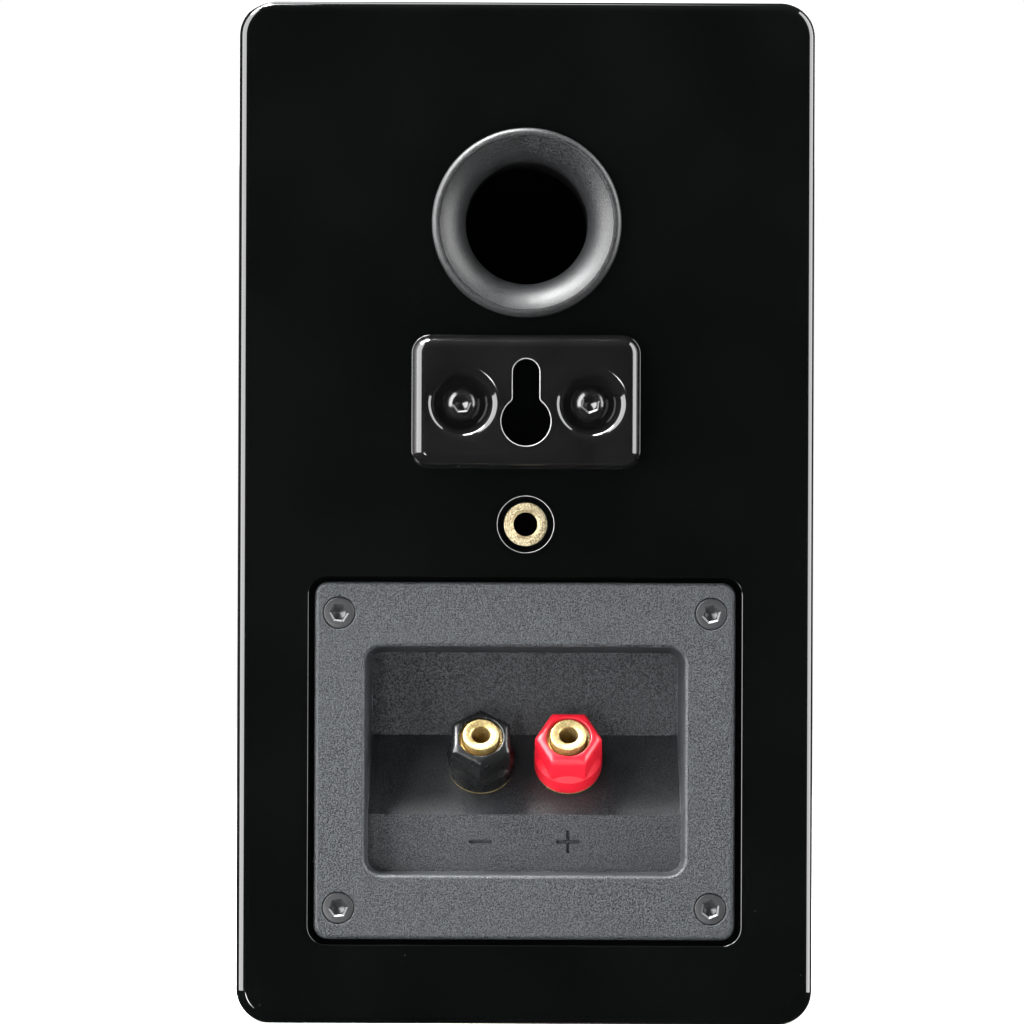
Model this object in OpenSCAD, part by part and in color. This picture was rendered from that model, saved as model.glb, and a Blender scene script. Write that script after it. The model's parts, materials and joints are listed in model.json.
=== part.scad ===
// Two-way bookshelf speaker with a rear port, a keyhole wall bracket, a threaded insert and a recessed
// terminal plate with two binding posts. Millimetres, +Z up, the baffle faces -Y and the terminals face +Y.
// The origin is at the bottom, in the middle of the whole object's width and depth.

/* [Cabinet] */
// Width of the cabinet
cabinet_w = 125; // [124:1:130]
// Height of the cabinet
cabinet_h = 222; // [222:1:228]
// Depth from the baffle's face to the rear face
cabinet_d = 150; // [150:1:170]
// Radius of the four long corners
corner_r = 7.5; // [6:0.5:10]
// Radius of the rounded rear edge
rear_edge_r = 2.2; // [1:0.2:3]
// Thickness of the sides, the top and the bottom
side_wall = 12; // [10:1:13]
// Thickness of the rear wall
rear_wall = 15; // [14:1:18]
// Thickness of the front baffle
baffle_t = 18; // [16:1:20]

/* [Drivers] */
// Height of the woofer's axis
woofer_z = 69; // [68:1:70]
// Height of the tweeter's axis
tweeter_z = 173; // [172:1:174]

/* [Port] */
// Height of the port's axis
port_z = 174; // [170:1:178]
// Radius of the port's throat
port_r = 13.3; // [11:0.1:13.5]
// Length of the port's straight tube
port_tube_l = 71; // [50:1:75]

/* [Wall bracket] */
// Width of the bracket
bracket_w = 49.7; // [46:0.1:54]
// Height of the bracket
bracket_h = 29; // [28:0.5:32]
// How far the bracket stands out of the rear face
bracket_t = 4.8; // [4.4:0.1:6]
// Height of the bracket's middle
bracket_z = 135.1; // [134:0.1:137]
// Distance between the bracket's two screws
bracket_pitch = 27.9; // [27.8:0.1:30]

/* [Threaded insert] */
// Height of the insert's axis
insert_z = 108.5; // [106:0.5:112]
// Radius of the insert's bore at the thread's crests
insert_bore_r = 2.6; // [2.4:0.1:2.8]

/* [Terminal plate] */
// Height of the plate's middle
plate_z = 57.1; // [54:0.1:60]
// Width of the plate
plate_w = 91.4; // [88:0.1:94]
// Height of the plate
plate_h = 77.6; // [76:0.1:80]
// Width of the recess
recess_w = 69.5; // [66:0.5:70]
// Height of the recess
recess_h = 49.6; // [49:0.1:51]
// Depth of the recess at its lower panel
lower_depth = 7.2; // [6:0.1:8]

/* [Binding posts] */
// Angle of the posts above the horizontal
post_tilt = 32; // [28:1:36]
// Distance between the two posts
post_pitch = 19.05; // [19:0.01:20]
// Height of the point where a post leaves its shelf
post_z = 55.9; // [55:0.1:57]
// Width of a cap across its flats
cap_flats = 12.8; // [12:0.1:13]
// Radius of the socket for a banana plug
socket_r = 2.05; // [2:0.01:2.1]

/* [Grille] */
// Width of the grille, with its cloth
grille_w = 121; // [118:1:122]
// Height of the grille, with its cloth
grille_h = 218; // [214:1:218]
// Thickness of the grille's frame
grille_t = 7.5; // [7.5:0.5:10]

/* [Hidden] */
$fn = 64;

// Small distances that the pieces share
gap = 0.05;         // between a piece and the one it fits in
through = 1;        // how far a cutter runs past a face
hull_fn = 32;       // facets of a corner inside a hull

// Depth
grille_gap = 0.5;
cloth_t = 0.5;
front_depth = grille_gap + grille_t + cloth_t;
overall_d = front_depth + cabinet_d + bracket_t;
front_y = -overall_d / 2 + front_depth;
rear_y = front_y + cabinet_d;
baffle_back_y = front_y + baffle_t;
mid_z = cabinet_h / 2;
baffle_edge_r = 2.5;

// Inside of the cabinet
inner_w = cabinet_w - 2 * side_wall;
inner_h = cabinet_h - 2 * side_wall;
inner_top = cabinet_h - side_wall;
inner_rear_y = rear_y - rear_wall;

// Port
flare_lip_r = 20.6;
flare_lip_t = 2.2;
flare_depth = 14;
collar_l = 12;
collar_r = 17.2;
port_tube_t = 2;

// Wall bracket
sheet_t = 1.2;
bracket_corner_r = 4;
bracket_edge_r = 3;
dish_lip_r = 2.7;
dish_top_r = 8.6;
dish_floor_r = 5.2;
dish_slope = 65;
dish_z = 134.7;
keyhole_r = 5.55;
keyhole_slot_r = 3;
keyhole_z = 130.9;
keyhole_top_z = 141.5;
keyhole_pocket_r = 7.5;
keyhole_pocket_depth = 5;
bracket_screw_r = 2;

// Threaded insert
insert_sink = 1.5;
insert_l = 12;
insert_r = 4.75;
insert_counterbore_r = 6.1;
counterbore_chamfer = 0.4;

// Terminal plate
plate_sink = 0.6;
plate_t = 3;
plate_corner_r = 3;
plate_edge_r = 1;
plate_wall = 2.2;
gasket_t = 0.6;
recess_corner_r = 3.7;
recess_chamfer = 0.9;
rebate_w = plate_w + 2.6;
rebate_h = plate_h + 2.4;
rebate_corner_r = 4;
cutout_gap = 0.6;
cutout_w = recess_w + 2 * (plate_wall + cutout_gap);
cutout_h = recess_h + 2 * (plate_wall + cutout_gap);
plate_screw_x = 40.4;
plate_screw_z = 32.05;
plate_screw_r = 1.75;
plate_screw_head_r = 3.4;
plate_y = rear_y - plate_sink;
recess_top = recess_h / 2;
shelf_top = 5.4;
shelf_bottom = -11.8;
upper_depth = lower_depth + (shelf_top - shelf_bottom) * tan(post_tilt);
mark_z = -17.7;
mark_l = 5;
mark_w = 0.8;
mark_depth = 0.45;

// Binding posts, along their own axis from the shelf
post_depth = lower_depth + (post_z - plate_z - shelf_bottom) * tan(post_tilt);
stud_flange_r = 7.2;
stud_flange_t = 0.4;
stud_r = 3.9;
stud_end = 13;
stud_tail_r = 3;
stud_tail_l = 11;
socket_depth = 16;
socket_chamfer = 0.6;
wire_hole_r = 1.5;
wire_hole_h = 2.8;
washer_bottom = stud_flange_t + gap;
washer_t = 0.8;
washer_r = 6.1;
cap_bottom = washer_bottom + 0.1;
cap_top = 12.2;
cap_r = 7.4;
cap_band_t = 4.2;
cap_run_out = 1;
bush_r = 5;
bush_top = 10.6;
lock_washer_t = 0.8;
tag_t = 0.8;
nut_t = 4;
nut_flats = 10;
fastener_r = 5.2;

// Crossover
board_w = 84;
board_d = 58;
board_t = 1.6;
board_y = 22;
standoff_h = 6;
board_top = side_wall + standoff_h + board_t;
board_hole_x = 38.5;
board_hole_y = 25.5;

// Woofer, along its own axis from the baffle's face
woofer_rim_r = 59;
woofer_rim_t = 4;
woofer_cut_r = 49.5;
driver_gasket_t = 0.5;
driver_screw_head_r = 2.9;
woofer_screw_r = 1.75;
woofer_screw_circle = 55.3;
woofer_screws_n = 6;
ledge_z = -3;
basket_floor = -33;
basket_back = -35;
coil_r = 12.95;
cone_lip_r = 40.4;
cone_in_r = 38.6;
cone_depth = 17;
top_plate_t = 5;
magnet_t = 14;
yoke_t = 5;

// Tweeter, along its own axis from the baffle's face
tweeter_plate_r = 41;
tweeter_plate_t = 4;
tweeter_cut_r = 32;
tweeter_screw_r = 1.5;
tweeter_screw_circle = 36;
tweeter_screws_n = 4;
dome_r = 12.7;
dome_h = 4.6;
dome_base = -5;

// Grille pegs
peg_x = 54.5;
peg_inset = 8.5;
peg_l = 9;
peg_r = 2.2;
peg_tip_r = 2.6;
cup_r = 4;
cup_l = 11;
cup_flange_r = 5.2;

// ---- Helpers ----

// Points along an arc, from one angle to another
function arc(centre, r, from, to, steps = 8) =
    [for (i = [0:steps]) let (a = from + (to - from) * i / steps) centre + r * [cos(a), sin(a)]];

// Points of a curve through a list of points, with some steps between each two
function bend(p, steps) = [
    for (i = [0:len(p) - 2], s = [0:steps - 1])
        let (a = p[max(i - 1, 0)], b = p[i], c = p[i + 1], d = p[min(i + 2, len(p) - 1)], t = s / steps,
            linear = (c - a) * t, square = (2 * a - 5 * b + 4 * c - d) * t * t,
            cubic = (3 * b - a - 3 * c + d) * t * t * t)
        b + 0.5 * (linear + square + cubic),
    p[len(p) - 1]
];

function unit(v) = v / norm(v);

// One polyhedron that sweeps a round section along a line of points
module sweep(p, r, sides = 8) {
    n = len(p);
    side_hint = [1, 0.35, 0.15];
    rings = [
        for (i = [0:n - 1])
            let (along = unit(p[min(i + 1, n - 1)] - p[max(i - 1, 0)]),
                u = unit(cross(along, side_hint)), v = cross(along, u))
            for (k = [0:sides - 1]) p[i] + r * (u * cos(360 * k / sides) + v * sin(360 * k / sides))
    ];
    faces = concat(
        [[for (k = [0:sides - 1]) k]],
        [[for (k = [sides - 1:-1:0]) (n - 1) * sides + k]],
        [for (i = [0:n - 2], k = [0:sides - 1])
            let (a = i * sides, b = a + sides, next = (k + 1) % sides) [a + k, b + k, b + next, a + next]]
    );
    polyhedron(points = rings, faces = faces, convexity = 4);
}

module rounded_rect(w, h, r) {
    square([w - 2 * r, h], center = true);
    square([w, h - 2 * r], center = true);
    for (x = [-1, 1], y = [-1, 1])
        translate([x * (w / 2 - r), y * (h / 2 - r)]) circle(r);
}

// Plate with rounded corners of radius r, whose edge at the top is rounded with radius e
module rounded_plate(w, h, t, r, e) {
    edge_steps = 4;
    hull()
        for (x = [-1, 1], y = [-1, 1], i = [0:edge_steps])
            let (a = 90 * i / edge_steps)
            translate([x * (w / 2 - r), y * (h / 2 - r), 0])
                cylinder(r = r - e + e * cos(a), h = t - e + e * sin(a), $fn = hull_fn);
}

// Ring between two radii, from z0 to z1
module ring(r_out, r_in, z0, z1) {
    translate([0, 0, z0])
        linear_extrude(z1 - z0)
            difference() {
                circle(r_out);
                circle(r_in);
            }
}

module hexagon(flats) {
    circle(r = flats / sqrt(3), $fn = 6);
}

// Frames: the children's +Z points out of the rear face or out of the baffle
module out_of_rear(x = 0, z = 0, y = rear_y) {
    translate([x, y, z]) rotate([-90, 0, 0]) children();
}
module out_of_front(x = 0, z = 0) {
    translate([x, front_y, z]) rotate([90, 0, 0]) children();
}
// The children's +Z runs along a binding post, out of the shelf
module along_post(side) {
    translate([side * post_pitch / 2, plate_y - post_depth, post_z])
        rotate([post_tilt - 90, 0, 0])
            children();
}
// Copies the children at each driver screw
module around(circle_r, n, first = 0) {
    for (i = [0:n - 1]) rotate(first + 360 * i / n) translate([circle_r, 0, 0]) children();
}

// Wood screw with a countersunk head flush with z = 0
module countersunk_screw(head_r, shank_r, length, socket) {
    head_rim = 0.4;
    tip = 2;
    difference() {
        union() {
            translate([0, 0, -head_rim]) cylinder(r = head_r, h = head_rim);
            translate([0, 0, -head_rim - head_r + shank_r])
                cylinder(r1 = shank_r, r2 = head_r, h = head_r - shank_r);
            translate([0, 0, tip - length]) cylinder(r = shank_r, h = length - tip);
            translate([0, 0, -length]) cylinder(r1 = 0.3, r2 = shank_r, h = tip);
        }
        translate([0, 0, -head_r * 0.45]) linear_extrude(head_r) hexagon(socket);
    }
}
// The hole that such a screw leaves in a plate
module countersink(head_r, shank_r, depth) {
    clear = 0.15;
    rim = 0.4;
    translate([0, 0, -rim]) cylinder(r = head_r + clear, h = rim + through);
    translate([0, 0, -rim - head_r + shank_r])
        cylinder(r1 = shank_r + clear, r2 = head_r + clear, h = head_r - shank_r);
    translate([0, 0, -depth]) cylinder(r = shank_r + clear, h = depth);
}

// ---- Cabinet ----

module cabinet() {
    shell_d = cabinet_d - baffle_t;
    pilot_l = 12;
    color("black")
    difference() {
        out_of_rear(z = mid_z, y = baffle_back_y)
            rounded_plate(cabinet_w, cabinet_h, shell_d, corner_r, rear_edge_r);
        translate([-inner_w / 2, baffle_back_y - through, side_wall])
            cube([inner_w, inner_rear_y - baffle_back_y + through, inner_h]);
        out_of_rear(z = port_z)
            translate([0, 0, -rear_wall - through])
                cylinder(r = collar_r + 0.6, h = rear_wall + 2 * through);
        out_of_rear(z = plate_z) {
            rebate_depth = plate_sink + plate_t + gasket_t;
            translate([0, 0, -rebate_depth])
                linear_extrude(rebate_depth + through) rounded_rect(rebate_w, rebate_h, rebate_corner_r);
            translate([0, 0, -rear_wall - through])
                linear_extrude(rear_wall + through) square([cutout_w, cutout_h], center = true);
            for (x = [-1, 1], y = [-1, 1])
                translate([x * plate_screw_x, y * plate_screw_z, -pilot_l - rebate_depth / 2])
                    cylinder(r = plate_screw_r + gap, h = pilot_l);
        }
        out_of_rear(z = insert_z) {
            translate([0, 0, -insert_sink]) cylinder(r = insert_counterbore_r, h = insert_sink + through);
            translate([0, 0, -counterbore_chamfer])
                cylinder(r1 = insert_counterbore_r, r2 = insert_counterbore_r + 2 * counterbore_chamfer,
                    h = 2 * counterbore_chamfer);
            translate([0, 0, -insert_sink - insert_l - gap])
                cylinder(r = insert_r + gap, h = insert_l + 2 * gap);
        }
        out_of_rear(z = (keyhole_z + keyhole_top_z) / 2)
            translate([0, 0, -keyhole_pocket_depth]) {
                half = (keyhole_top_z - keyhole_z) / 2;
                for (y = [-half, half])
                    translate([0, y, 0]) cylinder(r = keyhole_pocket_r, h = keyhole_pocket_depth + through);
                translate([-keyhole_pocket_r, -half, 0])
                    cube([2 * keyhole_pocket_r, 2 * half, keyhole_pocket_depth + through]);
            }
        for (x = [-1, 1])
            out_of_rear(x = x * bracket_pitch / 2, z = dish_z)
                translate([0, 0, -pilot_l]) cylinder(r = bracket_screw_r + gap, h = pilot_l + through);
        for (x = [-1, 1], y = [-1, 1])
            translate([x * board_hole_x, board_y + y * board_hole_y, side_wall - 7])
                cylinder(r = 1.4 + gap, h = 7 + through);
    }
}

module front_baffle() {
    color("black")
    difference() {
        out_of_front(z = mid_z)
            translate([0, 0, -baffle_t])
                rounded_plate(cabinet_w, cabinet_h, baffle_t, corner_r, baffle_edge_r);
        out_of_front(z = woofer_z) {
            rebate_depth = woofer_rim_t + driver_gasket_t;
            translate([0, 0, -rebate_depth]) cylinder(r = woofer_rim_r + 0.3, h = rebate_depth + through);
            translate([0, 0, -baffle_t - through]) cylinder(r = woofer_cut_r, h = baffle_t);
            around(woofer_screw_circle, woofer_screws_n, 30)
                translate([0, 0, -rebate_depth - 10]) cylinder(r = woofer_screw_r + gap, h = 11);
        }
        out_of_front(z = tweeter_z) {
            rebate_depth = tweeter_plate_t + driver_gasket_t;
            translate([0, 0, -rebate_depth]) cylinder(r = tweeter_plate_r + 0.3, h = rebate_depth + through);
            translate([0, 0, -baffle_t - through]) cylinder(r = tweeter_cut_r, h = baffle_t);
            around(tweeter_screw_circle, tweeter_screws_n, 45)
                translate([0, 0, -rebate_depth - 10]) cylinder(r = tweeter_screw_r + gap, h = 11);
        }
        for (x = [-1, 1], z = [peg_inset, cabinet_h - peg_inset])
            out_of_front(x = x * peg_x, z = z)
                translate([0, 0, -cup_l]) cylinder(r = cup_r + gap, h = cup_l + through);
    }
}

// Window brace between the side walls, above the woofer
module brace() {
    brace_t = 12;
    brace_z = 123;
    rim = 20;
    depth = inner_rear_y - baffle_back_y;
    color("peru")
    translate([0, (inner_rear_y + baffle_back_y) / 2, brace_z])
        linear_extrude(brace_t)
            difference() {
                square([inner_w, depth], center = true);
                rounded_rect(inner_w - 2 * rim, depth - 2 * rim, 10);
            }
}

// Foam pads on the side walls and under the top
module wadding() {
    pad_t = 9;
    upper_z = 136;
    lower_z = 40;
    color("dimgray") {
        for (side = [0, 1]) mirror([side, 0, 0]) {
            translate([inner_w / 2 - pad_t, -50, upper_z]) cube([pad_t, 108, inner_top - pad_t - upper_z]);
            translate([inner_w / 2 - pad_t, -10, lower_z]) cube([pad_t, 65, 80]);
        }
        translate([-inner_w / 2, -50, inner_top - pad_t]) cube([inner_w, 108, pad_t]);
    }
}

// ---- Port ----

// Quarter of an ellipse that opens from the throat to a wider mouth, as [radius, height] points
function flare_curve(throat_r, mouth_r, mouth_h, throat_h, steps = 14) = [
    for (i = [0:steps]) let (a = 90 * i / steps)
        [throat_r + (mouth_r - throat_r) * (1 - sin(a)), mouth_h + (throat_h - mouth_h) * (1 - cos(a))]
];

module port_flare() {
    bead_r = 1.25;
    groove = 0.25;
    mouth_r = 18.9;
    curve_r = 9.7;
    curve_x = 22.85;
    first = asin((curve_x - mouth_r) / curve_r);
    last = asin((curve_x - port_r) / curve_r);
    color("darkslategray")
    out_of_rear(z = port_z)
        rotate_extrude()
            polygon(concat(
                [[collar_r, 0], [flare_lip_r, 0]],
                arc([flare_lip_r - bead_r, flare_lip_t - bead_r], bead_r, 0, 110, 10),
                arc([curve_x, flare_lip_t - groove - curve_r * cos(first)], curve_r, 90 + first, 90 + last, 8),
                [[port_r, -flare_depth], [port_r + port_tube_t + gap, -flare_depth],
                 [port_r + port_tube_t + gap, -flare_depth - collar_l],
                 [collar_r, -flare_depth - collar_l]]
            ));
}

module port_tube() {
    color("#202224")
    out_of_rear(z = port_z)
        ring(port_r + port_tube_t, port_r, -flare_depth - port_tube_l, -flare_depth);
}

module port_inner_flare() {
    flare_l = 10;
    mouth_r = 19;
    end = -flare_depth - port_tube_l;
    color("darkslategray")
    out_of_rear(z = port_z)
        rotate_extrude()
            polygon(concat(
                flare_curve(port_r, mouth_r, end - flare_l, end, 8),
                [[port_r + port_tube_t + gap, end],
                 [port_r + port_tube_t + gap, end + collar_l],
                 [collar_r, end + collar_l],
                 [collar_r, end - flare_l / 2],
                 [mouth_r + 1.5, end - flare_l]]
            ));
}

// ---- Wall bracket and insert ----

// Dish that is pressed back to the rear face, for a screw's head
dish_curve = concat(
    [[0, sheet_t], [dish_floor_r, sheet_t]],
    arc([dish_top_r, bracket_t - dish_lip_r], dish_lip_r, 90 + dish_slope, 90, 6),
    [[dish_top_r + 1, bracket_t + through], [0, bracket_t + through]]
);

module wall_bracket() {
    inner_r = bracket_corner_r - sheet_t;
    inner_edge = bracket_edge_r - sheet_t;
    color("black")
    difference() {
        union() {
            out_of_rear(z = bracket_z)
                difference() {
                    rounded_plate(bracket_w, bracket_h, bracket_t, bracket_corner_r, bracket_edge_r);
                    translate([0, 0, -through])
                        rounded_plate(bracket_w - 2 * sheet_t, bracket_h - 2 * sheet_t,
                            bracket_t - sheet_t + through, inner_r, inner_edge);
                }
            for (x = [-1, 1])
                out_of_rear(x = x * bracket_pitch / 2, z = dish_z)
                    rotate_extrude()
                        polygon([[0, 0], [dish_floor_r + sheet_t, 0],
                            [dish_floor_r + 2 * sheet_t, bracket_t - 1.5 * sheet_t],
                            [dish_top_r, bracket_t - sheet_t / 2], [0, bracket_t - sheet_t / 2]]);
        }
        for (x = [-1, 1])
            out_of_rear(x = x * bracket_pitch / 2, z = dish_z) {
                rotate_extrude() polygon(dish_curve);
                translate([0, 0, -through]) cylinder(r = bracket_screw_r + 0.3, h = bracket_t);
            }
        out_of_rear(z = keyhole_z) cylinder(r = keyhole_r, h = bracket_t + through);
        out_of_rear(z = keyhole_top_z) cylinder(r = keyhole_slot_r, h = bracket_t + through);
        translate([-keyhole_slot_r, rear_y, keyhole_z])
            cube([2 * keyhole_slot_r, bracket_t + through, keyhole_top_z - keyhole_z]);
    }
}

// Button-head screws with hexagon sockets
module bracket_screws() {
    head_r = 4.2;
    head_h = 2.4;
    shank_l = 12;
    socket = 3;
    dome_r = (head_r * head_r + head_h * head_h) / (2 * head_h);
    color("#18191b")
    for (x = [-1, 1])
        out_of_rear(x = x * bracket_pitch / 2, z = dish_z)
            translate([0, 0, sheet_t])
                difference() {
                    union() {
                        rotate_extrude()
                            polygon(concat([[0, 0]],
                                arc([0, head_h - dome_r], dome_r, asin((dome_r - head_h) / dome_r), 90, 8)));
                        translate([0, 0, -shank_l]) cylinder(r = bracket_screw_r, h = shank_l);
                    }
                    translate([0, 0, head_h - 1.7]) linear_extrude(3) hexagon(socket);
                }
}

module threaded_insert() {
    thread_depth = 0.55;
    color("gold")
    out_of_rear(z = insert_z)
        rotate_extrude()
            polygon([[insert_bore_r, -insert_sink - insert_l], [insert_r, -insert_sink - insert_l],
                [insert_r, -insert_sink - 0.2], [insert_r - 0.2, -insert_sink],
                [insert_bore_r + thread_depth, -insert_sink], [insert_bore_r, -insert_sink - thread_depth]]);
}

// ---- Terminal plate ----

// Side view of the recess as [depth axis, height] points, or of its outside when grow is the wall's thickness
function recess_profile(grow, face) = [
    [face, recess_top + grow],
    [-upper_depth - grow, recess_top + grow],
    [-upper_depth - grow, shelf_top - grow * tan(post_tilt / 2)],
    [-lower_depth - grow, shelf_bottom - grow * tan(post_tilt / 2)],
    [-lower_depth - grow, -recess_top - grow],
    [face, -recess_top - grow]
];

// The recess's shape: its side view, kept inside the rounded rectangle that is seen from behind
module recess_body(grow, face) {
    w = recess_w + 2 * grow;
    h = recess_h + 2 * grow;
    reach = 40;
    intersection() {
        translate([-w / 2, plate_y, plate_z])
            rotate([90, 0, 90])
                linear_extrude(w) polygon(recess_profile(grow, face));
        out_of_rear(z = plate_z, y = plate_y)
            translate([0, 0, -reach]) linear_extrude(2 * reach) rounded_rect(w, h, recess_corner_r + grow);
    }
}

module terminal_plate() {
    color("dimgray")
    difference() {
        union() {
            out_of_rear(z = plate_z, y = plate_y - plate_t)
                rounded_plate(plate_w, plate_h, plate_t, plate_corner_r, plate_edge_r);
            recess_body(plate_wall, -plate_t / 2);
        }
        recess_body(0, through);
        out_of_rear(z = plate_z, y = plate_y)
            hull() {
                translate([0, 0, -recess_chamfer])
                    linear_extrude(0.01) rounded_rect(recess_w, recess_h, recess_corner_r, $fn = hull_fn);
                linear_extrude(0.01)
                    rounded_rect(recess_w + 2 * recess_chamfer, recess_h + 2 * recess_chamfer,
                        recess_corner_r + recess_chamfer, $fn = hull_fn);
            }
        for (x = [-1, 1], z = [-1, 1])
            out_of_rear(x = x * plate_screw_x, z = plate_z + z * plate_screw_z, y = plate_y)
                countersink(plate_screw_head_r, plate_screw_r, plate_t + through);
        for (side = [-1, 1])
            along_post(side)
                translate([0, 0, -2 * plate_wall]) cylinder(r = stud_tail_r + gap, h = 3 * plate_wall);
        polarity_mark(1, false);
        polarity_mark(-1, true);
    }
}

// Engraved minus or plus on the lower panel
module polarity_mark(side, plus) {
    translate([side * post_pitch / 2, plate_y - lower_depth - mark_depth, plate_z + mark_z]) {
        translate([-mark_l / 2, 0, -mark_w / 2]) cube([mark_l, mark_depth + through, mark_w]);
        if (plus) translate([-mark_w / 2, 0, -mark_l / 2]) cube([mark_w, mark_depth + through, mark_l]);
    }
}

module terminal_gasket() {
    color("#101010")
    out_of_rear(z = plate_z, y = plate_y - plate_t - gasket_t)
        linear_extrude(gasket_t)
            difference() {
                rounded_rect(plate_w - 0.4, plate_h - 0.4, plate_corner_r);
                square([cutout_w, cutout_h], center = true);
                for (x = [-1, 1], y = [-1, 1])
                    translate([x * plate_screw_x, y * plate_screw_z]) circle(plate_screw_r + 0.3);
            }
}

module terminal_screws() {
    length = 13;
    color("#18191b")
    for (x = [-1, 1], z = [-1, 1])
        out_of_rear(x = x * plate_screw_x, z = plate_z + z * plate_screw_z, y = plate_y - 0.1)
            countersunk_screw(plate_screw_head_r, plate_screw_r, length, 2.5);
}

// ---- Binding posts ----

module stud(side) {
    color("gold")
    along_post(side)
        difference() {
            rotate_extrude()
                polygon([[0, -stud_tail_l], [stud_tail_r, -stud_tail_l], [stud_tail_r, 0],
                    [stud_flange_r, 0], [stud_flange_r, stud_flange_t - 0.1],
                    [stud_flange_r - 0.1, stud_flange_t], [stud_r, stud_flange_t],
                    [stud_r, stud_end - 0.3], [stud_r - 0.3, stud_end],
                    [socket_r + socket_chamfer, stud_end], [socket_r, stud_end - socket_chamfer],
                    [socket_r, stud_end - socket_depth], [0, stud_end - socket_depth - 0.8]]);
            translate([0, 0, wire_hole_h])
                rotate([90, 0, 0]) cylinder(r = wire_hole_r, h = 4 * stud_r, center = true);
        }
}
module negative_stud() { stud(1); }
module positive_stud() { stud(-1); }

// Washer that is captive under a cap and doesn't turn with it
module clamp_washer(side) {
    color("gold")
    along_post(side) ring(washer_r, stud_r + gap, washer_bottom, washer_bottom + washer_t);
}
module negative_clamp_washer() { clamp_washer(1); }
module positive_clamp_washer() { clamp_washer(-1); }

// Hexagonal cap on a round band; turn is the hexagon's angle
module cap(side, turn) {
    flats_r = cap_flats / 2;
    edge = 0.9;
    band_top = cap_bottom + cap_band_t;
    along_post(side)
        difference() {
            union() {
                translate([0, 0, cap_bottom]) cylinder(r = cap_r, h = cap_band_t);
                translate([0, 0, band_top]) cylinder(r1 = cap_r, r2 = flats_r, h = cap_run_out);
                intersection() {
                    rotate(turn)
                        translate([0, 0, band_top]) linear_extrude(cap_top - band_top) hexagon(cap_flats);
                    rotate_extrude()
                        polygon([[0, 0], [cap_r, 0], [cap_r, cap_top - 1.6 * edge],
                            [cap_r - 0.5 * edge, cap_top - 0.6 * edge], [cap_r - 1.7 * edge, cap_top],
                            [0, cap_top]]);
                }
            }
            translate([0, 0, cap_bottom - through]) cylinder(r = bush_r, h = cap_top);
            translate([0, 0, cap_bottom - through]) cylinder(r = washer_r + 0.15, h = through + washer_t);
            translate([0, 0, cap_top - 0.6]) cylinder(r1 = bush_r, r2 = bush_r + 0.8, h = 0.61);
        }
}
module negative_cap() { color("#202225") cap(1, 30); }
module positive_cap() { color("crimson") cap(-1, 0); }

// Threaded brass bush inside a cap
module cap_bush(side) {
    color("gold")
    along_post(side) ring(bush_r, stud_r + gap, cap_bottom + washer_t + gap, bush_top);
}
module negative_cap_bush() { cap_bush(1); }
module positive_cap_bush() { cap_bush(-1); }

module post_lock_washers() {
    color("silver")
    for (side = [-1, 1])
        along_post(side) ring(fastener_r, stud_tail_r + gap, -plate_wall - lock_washer_t, -plate_wall);
}

// Ring terminals with a tail for the lead
module post_tags() {
    tail_w = 5;
    tail_l = 14;
    top = -plate_wall - lock_washer_t;
    color("gold")
    for (side = [-1, 1])
        along_post(side)
            translate([0, 0, top - tag_t])
                linear_extrude(tag_t)
                    difference() {
                        union() {
                            circle(fastener_r);
                            translate([-tail_w / 2, -tail_l]) square([tail_w, tail_l]);
                        }
                        circle(stud_tail_r + gap);
                    }
}

module post_nuts() {
    top = -plate_wall - lock_washer_t - tag_t;
    color("silver")
    for (side = [-1, 1])
        along_post(side)
            translate([0, 0, top - nut_t])
                linear_extrude(nut_t)
                    difference() {
                        hexagon(nut_flats);
                        circle(stud_tail_r + gap);
                    }
}

// ---- Crossover ----

module board_corners() {
    for (x = [-1, 1], y = [-1, 1]) translate([x * board_hole_x, board_y + y * board_hole_y, 0]) children();
}

module crossover_board() {
    color("darkgreen")
    difference() {
        translate([-board_w / 2, board_y - board_d / 2, board_top - board_t])
            cube([board_w, board_d, board_t]);
        board_corners() translate([0, 0, side_wall]) cylinder(r = 1.6, h = 12);
    }
}

module crossover_standoffs() {
    color("white")
    board_corners() ring(3, 1.5, side_wall, side_wall + standoff_h);
}

module crossover_screws() {
    head_h = 1.8;
    shank_r = 1.4;
    tip_z = side_wall - 6.5;
    color("silver")
    board_corners()
        difference() {
            union() {
                translate([0, 0, board_top]) cylinder(r = 2.7, h = head_h);
                translate([0, 0, tip_z]) cylinder(r = shank_r, h = board_top - tip_z);
            }
            for (turn = [0, 90])
                rotate(turn) translate([-1.6, -0.35, board_top + head_h - 0.9]) cube([3.2, 0.7, 2]);
        }
}

// Places of the two coils: [x, y, flange radius, winding radius, core radius, height of the winding]
big_coil = [-22, 24, 18, 16.5, 6, 13];
small_coil = [27, 30, 10.5, 9.5, 4, 9];
coil_flange_t = 1.5;

module winding(c) {
    translate([c[0], c[1], board_top + coil_flange_t]) ring(c[3], c[4], 0, c[5]);
}
module woofer_inductor() { color("#b4602c") winding(big_coil); }
module tweeter_inductor() { color("#b4602c") winding(small_coil); }

module inductor_bobbins() {
    color("ivory")
    for (c = [big_coil, small_coil])
        translate([c[0], c[1], board_top])
            rotate_extrude()
                polygon([[c[4] - 1.5, 0], [c[2], 0], [c[2], coil_flange_t], [c[4], coil_flange_t],
                    [c[4], coil_flange_t + c[5]], [c[2], coil_flange_t + c[5]],
                    [c[2], 2 * coil_flange_t + c[5]], [c[4] - 1.5, 2 * coil_flange_t + c[5]]]);
}

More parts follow.
